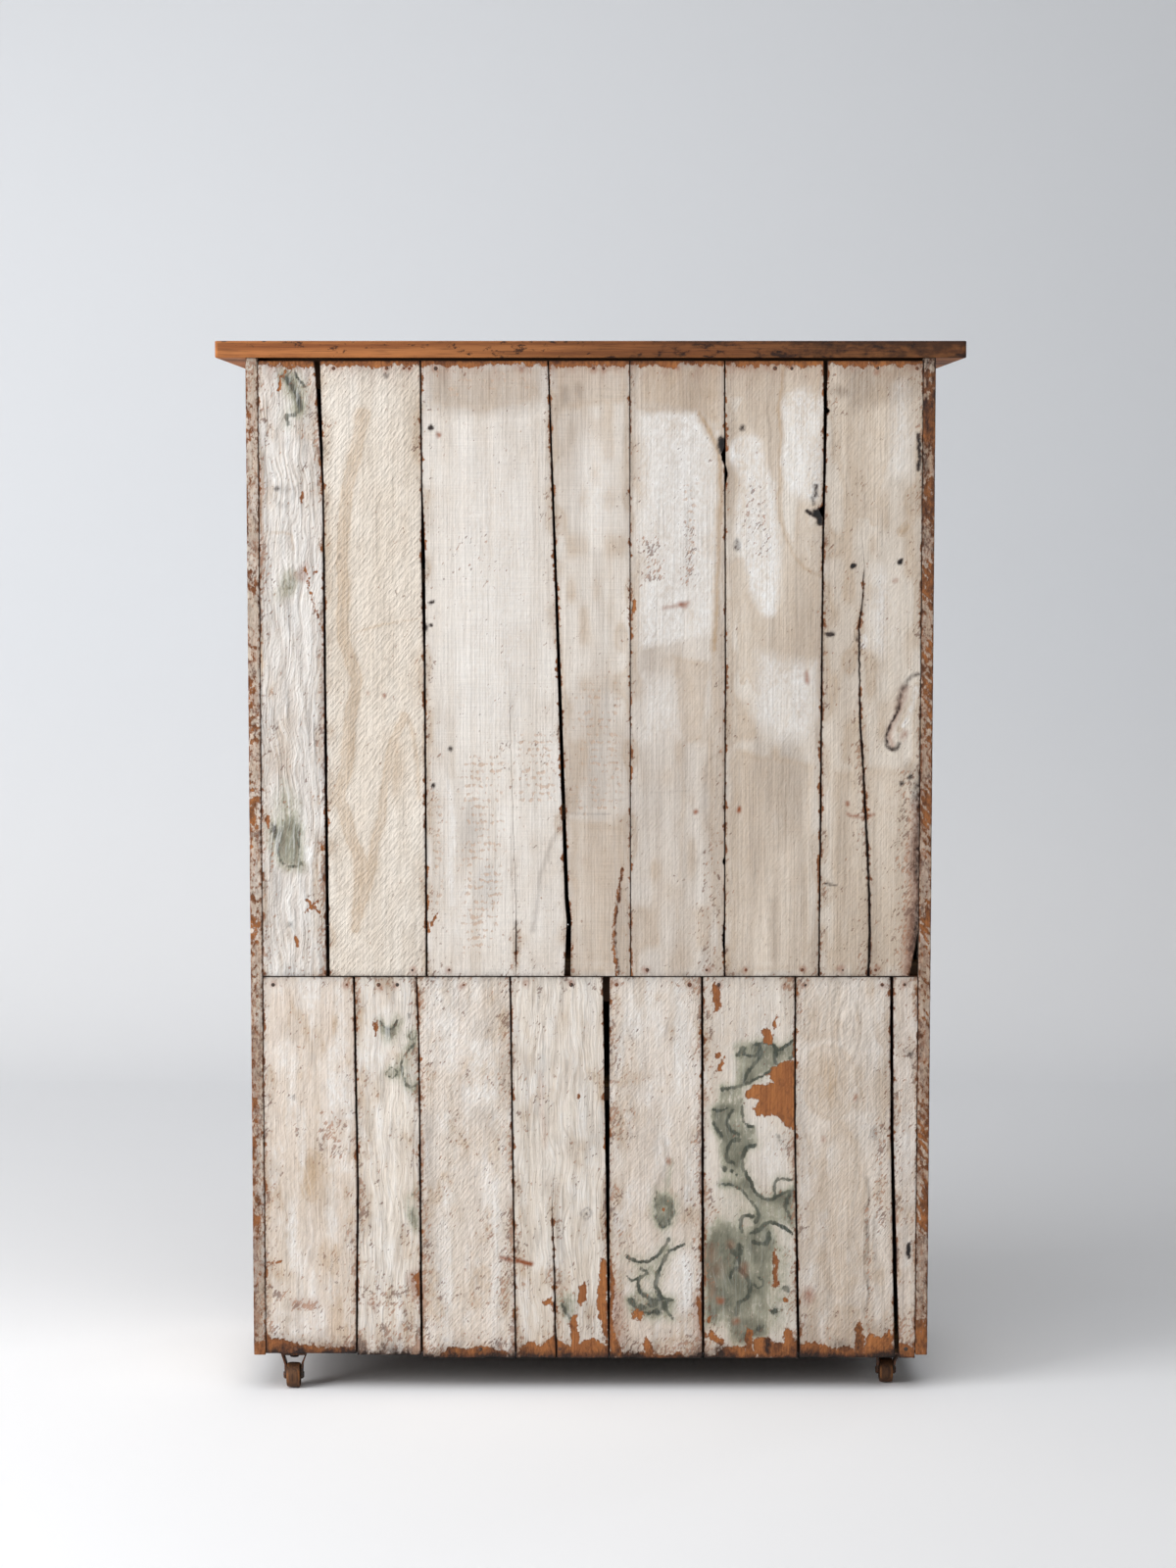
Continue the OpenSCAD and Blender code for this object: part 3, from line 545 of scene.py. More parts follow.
class Unevenness:
    """Smooth noise of a fixed seed, for the shape of worn boards."""

    def __init__(self, seed: int) -> None:
        """Fills the lattice with random heights between 0 and 1."""
        self.lattice = np.random.default_rng(seed).random((256, 256))

    def __call__(self, u: Array, v: Array | float) -> Array:
        """Returns the noise at lattice coordinates u and v."""
        low_u, low_v = np.floor(u).astype(int), np.floor(v).astype(int)
        share_u, share_v = u - low_u, v - low_v
        share_u = share_u * share_u * (3 - 2 * share_u)
        share_v = share_v * share_v * (3 - 2 * share_v)
        corner = [
            self.lattice[(low_u + i) % 256, (low_v + j) % 256] for i, j in ((0, 0), (1, 0), (0, 1), (1, 1))
        ]
        low = corner[0] + (corner[1] - corner[0]) * share_u
        high = corner[2] + (corner[3] - corner[2]) * share_u
        return low + (high - low) * share_v


class Layer(Enum):
    """What a mark on a board shows, with the attribute and the part of it that hold the mark."""

    BARE = ("wear", 0)
    FLECK = ("wear", 1)
    # Dirt, and painted shade where the marks lie over holes and splits
    GRIME = ("wear", 2)
    TAN = ("stain", 0)
    RUST = ("stain", 1)
    GREY = ("stain", 2)
    WASH = ("figure", 0)
    LINE = ("figure", 1)
    WHITE = ("figure", 2)
    HATCH = ("board", 0)


@dataclass(frozen=True)
class Mark:
    """A stroke, or a filled patch, on the paint of the back.

    Sizes are in millimetres. The edge of the mark fades over the distance soft to both sides.
    """

    layer: Layer
    points: Sequence[Place]
    width: float
    strength: float
    soft: float
    filled: bool = False
    curved: bool = True

    def outline(self) -> Array:
        """Returns the mark's points, with curves through them where it is curved."""
        given = np.array(self.points, float)
        if not self.curved or len(given) < 3:
            return np.vstack([given, given[:1]]) if self.filled else given
        ends = (given[-1:], given[:2]) if self.filled else (given[:1], given[-1:])
        padded = np.vstack([ends[0], given, ends[1]])
        steps = np.linspace(0, 1, 7)[:-1, None]
        spans = []
        for p0, p1, p2, p3 in zip(padded, padded[1:], padded[2:], padded[3:]):
            bend = 2 * p0 - 5 * p1 + 4 * p2 - p3 + steps * (3 * p1 - p0 - 3 * p2 + p3)
            spans.append(p1 + 0.5 * steps * (p2 - p0 + steps * bend))
        last = given[:1] if self.filled else given[-1:]
        return np.vstack([*spans, last])

    def field(self, across: Array, over: Array) -> Array:
        """Returns the mark's strength at places across the board and over the floor."""
        line = self.outline()
        reach = self.width + 2 * self.soft
        near = (
            (across > line[:, 0].min() - reach)
            & (across < line[:, 0].max() + reach)
            & (over > line[:, 1].min() - reach)
            & (over < line[:, 1].max() + reach)
        )
        result = np.zeros(across.shape)
        if not near.any():
            return result
        places = np.stack([across[near], over[near]], 1)
        least = np.full(len(places), 1e9)
        inside = np.zeros(len(places), bool)
        for a, b in zip(line, line[1:]):
            run = b - a
            share = np.clip(((places - a) @ run) / max(run @ run, 1e-9), 0, 1)
            least = np.minimum(least, np.hypot(*(places - a - share[:, None] * run).T))
            crosses = (a[1] > places[:, 1]) != (b[1] > places[:, 1])
            rise = b[1] - a[1] if b[1] != a[1] else 1e-9
            inside ^= crosses & (places[:, 0] < a[0] + (places[:, 1] - a[1]) / rise * run[0])
        distance = np.where(inside, -least, least) if self.filled else least - self.width / 2
        result[near] = np.clip(0.5 - distance / (2 * self.soft), 0, 1) * self.strength
        return result


def strokes(layer: Layer, *rows: tuple) -> list[Mark]:
    """Returns curved strokes, each given as its width, strength and softness and then its places."""
    return [Mark(layer, places, width, strength, soft) for width, strength, soft, *places in rows]


def scrolls(*rows: tuple, halo: float = 0.5, strength: float = 1.0) -> list[Mark]:
    """Makes painted lines of the ornament.

    Args:
        rows: Width of each line and then its places.
        halo: Strength of the soft green shade beside the lines.
        strength: Strength of the lines.

    Returns:
        The lines and their shades.
    """
    cores = [Mark(Layer.LINE, places, width * 0.8, strength, 2.4) for width, *places in rows]
    return cores + [Mark(Layer.WASH, places, width * 3.0, halo, 6.0) for width, *places in rows]


def patches(layer: Layer, *rows: tuple, curved: bool = False) -> list[Mark]:
    """Returns filled patches, each given as its strength and softness and then its corners."""
    return [Mark(layer, places, 0.0, strength, soft, True, curved) for strength, soft, *places in rows]


def blots(layer: Layer, *rows: tuple) -> list[Mark]:
    """Makes round blots.

    Args:
        layer: What the blots show.
        rows: Place across and over the floor, half width and half height of each. Its strength
            and softness may follow, which are otherwise 1 and its smaller half size.

    Returns:
        The blots.
    """
    made = []
    for across, over, wide, high, *more in rows:
        strength, soft = more + [1.0, min(wide, high)][len(more):]
        turns = [math.tau * i / 8 for i in range(8)]
        places = [(across + wide * math.cos(a), over + high * math.sin(a)) for a in turns]
        made.append(Mark(layer, places, 0.0, strength, soft, filled=True))
    return made


@dataclass(frozen=True)
class Crack:
    """A split along a board: places across and over the floor, with its width at each, in millimetres."""

    points: Sequence[tuple[float, float, float]]
    depth: float = 7.0


@dataclass(frozen=True)
class Notch:
    """A piece broken out of a long edge: its middle over the floor, height and depth, in millimetres."""

    over: float
    high: float
    deep: float
    far: bool = False


@dataclass(frozen=True)
class Knot:
    """A knot, or the grain round a heart: place, ring spacing, reach, stretch and height in millimetres."""

    at: Place
    spacing: float
    reach: float
    stretch: float = 1.0
    high: float = 0.4


@dataclass
class BackBoard:
    """One board of the back, with worn edges, raised grain, splits and marks, in millimetres."""

    tier: str
    number: int
    tone: float = 0.0
    grain: float = 0.15
    brush: float = 0.25
    saw: float = 0.0
    sawn: float = 0.2
    dingy: float = 0.12
    shaded: float = 0.0
    foot: float = 8.0
    mottled: float = 0.0
    flecks: float = 0.35
    cracks: Sequence[Crack] = ()
    notches: Sequence[Notch] = ()
    knots: Sequence[Knot] = ()
    marks: Sequence[Mark] = ()
    arris: float = 1.1
    pitch: float = 2.0
    row_pitch: float = 2.4
    fine: Sequence[float] = (0.0, 0.4, 1.0, 1.8, 3.0)
    inner_face: float = 441.0
    thickness: float = 14.0

    @property
    def node(self) -> str:
        """Name of the board's CAD node."""
        return f"{self.tier}_back_board_{self.number}"

    @property
    def rear(self) -> float:
        """Level of the CAD board's outer face."""
        return (points_of(frame["nodes"][self.node].data) / MM)[:, 1].max()

    def edges(self) -> list[Array]:
        """Returns the near and the far edge of the CAD board, each as rows of height and place."""
        places = points_of(frame["nodes"][self.node].data) / MM
        across = self.inner_face - places[:, 0]
        middle = (across.min() + across.max()) / 2
        rows = np.round(np.stack([places[:, 2], across], 1), 3)
        return [np.unique(rows[chosen], axis=0) for chosen in (across < middle, across >= middle)]

    def spread(self, length: float, pitch: float) -> Array:
        """Returns places from 0 to length, close together at both ends."""
        last = self.fine[-1]
        count = max(2, round((length - 2 * last) / pitch))
        middle = np.linspace(last, length - last, count + 1)
        return np.concatenate([self.fine[:-1], middle, length - np.array(self.fine[:-1])[::-1]])

    def columns(self, over: Array, wear: Unevenness) -> tuple[Array, Array, Array]:
        """Lays out the grid between the board's edges and along its cracks.

        Args:
            over: Height of each row over the floor.
            wear: Noise of this board.

        Returns:
            Place across, distance to the nearest edge or crack, and depth of the cracks.
        """
        near, far = self.edges()
        loss = 0.27 * self.arris
        near_edge = np.interp(over, near[:, 0], near[:, 1]) + loss * wear(over / 23, 3)
        far_edge = np.interp(over, far[:, 0], far[:, 1]) - loss * wear(over / 23, 9)
        for notch in self.notches:
            bite = notch.deep * np.clip(1.3 - np.abs(over - notch.over) / notch.high * 2.6, 0, 1)
            bite = bite * (0.6 + 0.7 * wear(over / 3, 17))
            if notch.far:
                far_edge = far_edge - bite
            else:
                near_edge = near_edge + bite
        lefts, rights, bottoms, closed = [near_edge], [], [], []
        for crack in self.cracks:
            path = np.array(sorted(crack.points, key=lambda point: point[1]))
            at = np.interp(over, path[:, 1], path[:, 0]) + 0.9 * (wear(over / 7, 29) - 0.5)
            half = np.interp(over, path[:, 1], path[:, 2], left=path[0, 2], right=0) / 2
            rights.append(at - half - 0.1)
            bottoms.append(np.minimum(crack.depth, half * 8))
            closed.append(20 * np.clip(1 - half * 3, 0, 1))
            lefts.append(at + half + 0.1)
        rights.append(far_edge)
        across, edge, depth = [], [], []
        for index, (left, right) in enumerate(zip(lefts, rights)):
            offsets = self.spread(float(np.mean(right - left)), self.pitch)
            length = offsets[-1]
            share = (offsets - self.fine[-1]) / (length - 2 * self.fine[-1])
            inner = left[:, None] + self.fine[-1] + share * ((right - left)[:, None] - 2 * self.fine[-1])
            low = left[:, None] + offsets
            high = right[:, None] - (length - offsets)
            count = len(self.fine) - 1
            inner[:, :count] = low[:, :count]
            inner[:, -count:] = high[:, -count:]
            across.append(inner)
            from_left = inner - left[:, None] + (closed[index - 1][:, None] if index else 0)
            from_right = right[:, None] - inner + (closed[index][:, None] if index < len(closed) else 0)
            edge.append(np.minimum(from_left, from_right))
            depth.append(np.zeros_like(inner))
            if index < len(bottoms):
                across.append(((right + lefts[index + 1]) / 2)[:, None])
                edge.append(closed[index][:, None])
                depth.append(bottoms[index][:, None])
        return np.hstack(across), np.hstack(edge), np.hstack(depth)

    def furrows(self, across: Array, over: Array, wear: Unevenness) -> Array:
        """Returns the raised grain, from 0 on its ridges to 1 in its furrows."""
        sway = 1.6 * wear(across / 45 + 7, over / 38) + 0.5 * wear(across / 20 + 19, over / 11)
        broad = 0.6 * wear(across / 5.2 + sway + 11, over / 70)
        return broad + 0.4 * wear(across / 2.6 + sway * 2 + 23, over / 30)

    def relief(self, across: Array, over: Array, wear: Unevenness) -> Array:
        """Returns how far the paint lies under the board's highest face, from grain, brush and knots."""
        sway = 1.5 * wear(across / 60 + 7, over / 60)
        depth = 0.6 * self.grain * self.furrows(across, over, wear)
        depth = depth + 0.1 * wear(across / 3.6 + sway + 11, over / 60)
        lean = math.radians(BRUSH_LEAN)
        side = across * math.sin(lean) - over * math.cos(lean)
        run = across * math.cos(lean) + over * math.sin(lean)
        depth = depth + self.brush * wear(side / 3.6 + 40, run / 12)
        depth = depth + 0.5 * wear(across / 70 + 90, over / 220)
        for knot in self.knots:
            far = np.hypot(across - knot.at[0], (over - knot.at[1]) / knot.stretch)
            fade = np.clip(1.2 - far / knot.reach, 0, 1)
            waves = 0.5 - 0.5 * np.cos(math.tau * (far / knot.spacing + 0.6 * wear(across / 20, over / 45)))
            depth = depth * (1 - fade * 0.6) + knot.high * waves * fade
        return depth

    def wear_fields(
        self, across: Array, over: Array, edge: Array, end: Array, wear: Unevenness
    ) -> dict[str, Array]:
        """Works out the marks, losses and dirt at each point of the face, and the painted shade of the
        grain's furrows.

        Args:
            across: Places across the back.
            over: Heights over the floor.
            edge: Distance to the nearest long edge or crack.
            end: Distance to the nearest end.
            wear: Noise of this board.

        Returns:
            The vectors named by Layer, for each point.
        """
        names = ("wear", "stain", "figure", "board", "relief")
        fields = {name: np.zeros((*across.shape, 3)) for name in names}
        fields["board"][:] = (self.saw, self.tone, np.clip(self.brush * 2.2, 0, 1))
        fields["relief"][:] = (self.grain, max(self.sawn, self.saw * 2.5), self.shaded)
        bare, fleck, grime_and_shade = np.moveaxis(fields["wear"], -1, 0)
        tan, rust, grey = np.moveaxis(fields["stain"], -1, 0)
        white = fields["figure"][..., 2]
        patchy = wear(across / 16 + 5, over / 31)
        stripe = np.round(across / 200)
        along = wear(stripe + 51, over / 13) * 0.6 + wear(stripe + 61, over / 4) * 0.4
        loss = 0.5 + (9 * (along - 0.62) - edge) / 6
        foot = wear(across / 10 + 60, 8) * 0.7 + wear(across / 3 + 75, 18) * 0.3
        ground, crown = over - over.min(), over.max() - over
        near_edge = np.exp(-edge / (4 + 9 * patchy)) * (0.3 + 1.1 * patchy)
        furrow_shade = np.clip((self.furrows(across, over, wear) - 0.52) * 4, 0, 1)
        furrow_shade = furrow_shade * np.clip(self.grain * 1.6 - 0.25, 0, 1)
        fleck[:] = self.flecks * (0.9 * patchy) + (0.3 + 2.6 * self.flecks) * near_edge
        fleck += 0.4 * np.exp(-end / 16)
        fleck += 0.4 * furrow_shade
        dirt = 0.82 * self.arris * np.exp(-edge / 0.8) + 0.16 * near_edge + 0.55 * np.exp(-end / 4)
        # Along the edges and ends this is dirt; the grime and grey added in the grain's furrows are painted
        # shade
        grime_and_shade[:] = dirt * (0.45 + 0.8 * wear(across / 11 + 70, over / 24)) + 0.16 * furrow_shade
        tan[:] = 0.45 * np.exp(-edge / 12) * patchy + self.dingy * (0.35 + patchy)
        grey[:] = self.dingy * 0.5 * wear(across / 30 + 44, over / 90) + 0.3 * furrow_shade
        if self.tier == "lower":
            loss = np.maximum(loss, 0.5 + (self.foot * (0.3 + 1.6 * (foot - 0.3)) - ground) / 8)
            smudge = np.clip(wear(across / 12 + 33, over / 22) * 2.2 - 0.7, 0, 1)
            grime_and_shade += 0.9 * np.exp(-ground / 15) * smudge + 0.55 * np.exp(-ground / 6)
            fleck += 0.8 * np.exp(-ground / 26)
            tan += 0.5 * np.exp(-ground / 30) * wear(across / 20 + 13, over / 26)
            rust[:] = 0.35 * np.exp(-ground / 22) * wear(across / 8 + 23, over / 12)
        else:
            loss = np.maximum(loss, 0.5 + (5 + 9 * (foot - 0.35) - crown) / 7)
            rust[:] = 0.9 * np.exp(-crown / 12) * wear(across / 9 + 23, over / 12)
            grey += 0.5 * np.exp(-crown / 40) * wear(across / 24 + 3, over / 30)
        bare[:] = np.clip(loss, 0, 1)
        pale, warm, dim = (
            wear(across / a + seed, over / b) * 0.7 + wear(across / 5 + seed, over / 9) * 0.3
            for a, b, seed in ((13, 46, 25), (19, 27, 135), (16, 38, 185))
        )
        white[:] = self.mottled * 0.75 * np.clip((pale - 0.42) * 2.6, 0, 1)
        tan += self.mottled * 0.32 * np.clip((warm - 0.48) * 2.6, 0, 1)
        grey += self.mottled * 0.3 * np.clip((dim - 0.54) * 4, 0, 1)
        fleck += self.mottled * 0.45 * np.clip((warm - 0.58) * 4, 0, 1)
        bend = 7.0 * (wear(across / 30 + 80, over / 34) - 0.5)
        bend = bend + 2.6 * (wear(across / 4 + 95, over / 5) - 0.5)
        sway = 7.0 * (wear(across / 32 + 120, over / 30) - 0.5)
        sway = sway + 2.6 * (wear(across / 4 + 140, over / 4) - 0.5)
        for mark in self.marks:
            name, part = mark.layer.value
            target, drawn = fields[name][..., part], mark.field(across + bend, over + sway)
            if mark.layer is Layer.WASH:
                fields[name][..., part] = np.clip(target + drawn, 0, 1.6)
            else:
                fields[name][..., part] = np.maximum(target, drawn)
        return fields

    def build(self, finishes: Finishes) -> None:
        """Makes the board's mesh, dresses it and lets it ride on the case."""
        wear = Unevenness(self.number + 40 * (self.tier == "lower"))
        near, _ = self.edges()
        low, high = near[:, 0].min(), near[:, 0].max()
        rows = low + self.spread(high - low, self.row_pitch)
        across, edge, cleft = self.columns(rows, wear)
        over = np.repeat(rows[:, None], across.shape[1], 1)
        end = np.minimum(over - low, high - over)
        fields = self.wear_fields(across, over, edge, end, wear)
        round_off = self.arris * (0.5 + wear(over / 19, 33))
        drop = np.zeros_like(across)
        for distance in (edge, end):
            gap = np.clip(round_off - distance, 0, None)
            drop = np.maximum(drop, round_off - np.sqrt(np.clip(round_off**2 - gap**2, 0, None)))
        # The floors of splits are darkened by their depth: painted shade
        fields["wear"][..., 2] = np.maximum(fields["wear"][..., 2], np.clip(cleft, 0, 1.3))
        bare = np.clip((fields["wear"][..., 0] - 0.4) * 5, 0, 1)
        depth = drop + self.relief(across, over, wear) + 0.3 * bare
        depth = np.where(cleft > 0, np.maximum(cleft, depth), depth)
        mesh, count = self.closed_mesh(across, over, depth)
        self.store(mesh, fields, count)
        board = linked(mesh.name, mesh)
        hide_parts(self.node)
        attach(board, "case")
        finishes.dress(board, "aged_paint")
        log.info("%s: %d faces", board.name, len(mesh.polygons))

    def closed_mesh(self, across: Array, over: Array, depth: Array) -> tuple[bpy.types.Mesh, int]:
        """Closes the worn face with walls and a plain inner face.

        Args:
            across: Places across the back, by row and column.
            over: Heights over the floor.
            depth: How far each point lies in from the rear plane.

        Returns:
            The mesh and the number of points on its face.
        """
        rows, columns = across.shape
        index = np.arange(rows * columns).reshape(rows, columns)
        rear = self.rear
        face = np.stack([self.inner_face - across, rear - depth, over], -1).reshape(-1, 3)
        quads = np.stack([index[:-1, :-1], index[:-1, 1:], index[1:, 1:], index[1:, :-1]], -1).reshape(-1, 4)
        ring = np.concatenate([index[0, :-1], index[:-1, -1], index[-1, :0:-1], index[:0:-1, 0]])
        count = len(face)
        wall = face[ring].copy()
        wall[:, 1] = np.minimum(wall[:, 1] - 0.6, rear - 3.0)
        inner = face[ring].copy()
        inner[:, 1] = rear - self.thickness
        points = np.vstack([face, wall, inner]) * MM
        size = len(ring)
        faces = quads.tolist()
        turn = np.arange(size)
        after = (turn + 1) % size
        upper = [ring, count + turn, count + size + turn]
        for first, second in zip(upper, upper[1:]):
            faces += np.stack([first[after], first[turn], second[turn], second[after]], -1).tolist()
        back = count + size + turn
        foot, far = back[:columns], back[columns - 1 : columns + rows - 1]
        head = back[columns + rows - 2 : 2 * columns + rows - 2]
        near = np.append(back[2 * columns + rows - 3 :], back[0])[::-1]
        faces.append([*foot[::-1], near[1], far[1]])
        for row in range(1, rows - 2):
            faces.append([far[row], near[row], near[row + 1], far[row + 1]])
        faces.append([far[rows - 2], near[rows - 2], *head[::-1]])
        mesh = bpy.data.meshes.new(f"{self.node}_worn")
        mesh.from_pydata(points.tolist(), [], faces)
        mesh.update()
        smooth_between_arrises(mesh, WORN_TURN)
        return mesh, count

    def store(self, mesh: bpy.types.Mesh, fields: dict[str, Array], count: int) -> None:
        """Stores the board's coordinates and marks on the points of its mesh.

        Args:
            mesh: The closed mesh.
            fields: The vectors of the face's points, by name.
            count: Number of points on the face, which come first.
        """
        places = points_of(mesh)
        seed = np.array(Vector((self.number * 3.1, 0.0, 7.7 * (self.tier == "lower"))))
        wood = np.stack([self.inner_face * MM - places[:, 0], places[:, 1], places[:, 2]], 1) + seed
        put_vectors(mesh, "wood", wood)
        put_vectors(mesh, "middle", wood)
        put_vectors(mesh, "half", np.full_like(wood, 1.0))
        size = (len(places) - count) // 2
        for name, grid in fields.items():
            values = np.zeros((len(places), 3))
            values[:count] = grid.reshape(-1, 3)
            # The walls of the board are bare wood painted near black as the shade in the gaps between boards;
            # the inner face is bare with a little grime
            if name == "wear":
                values[count:] = (1.0, 0.0, 1.3)
                values[count + size :] = (1.0, 0.0, 0.2)
            put_vectors(mesh, name, values)


L = Layer

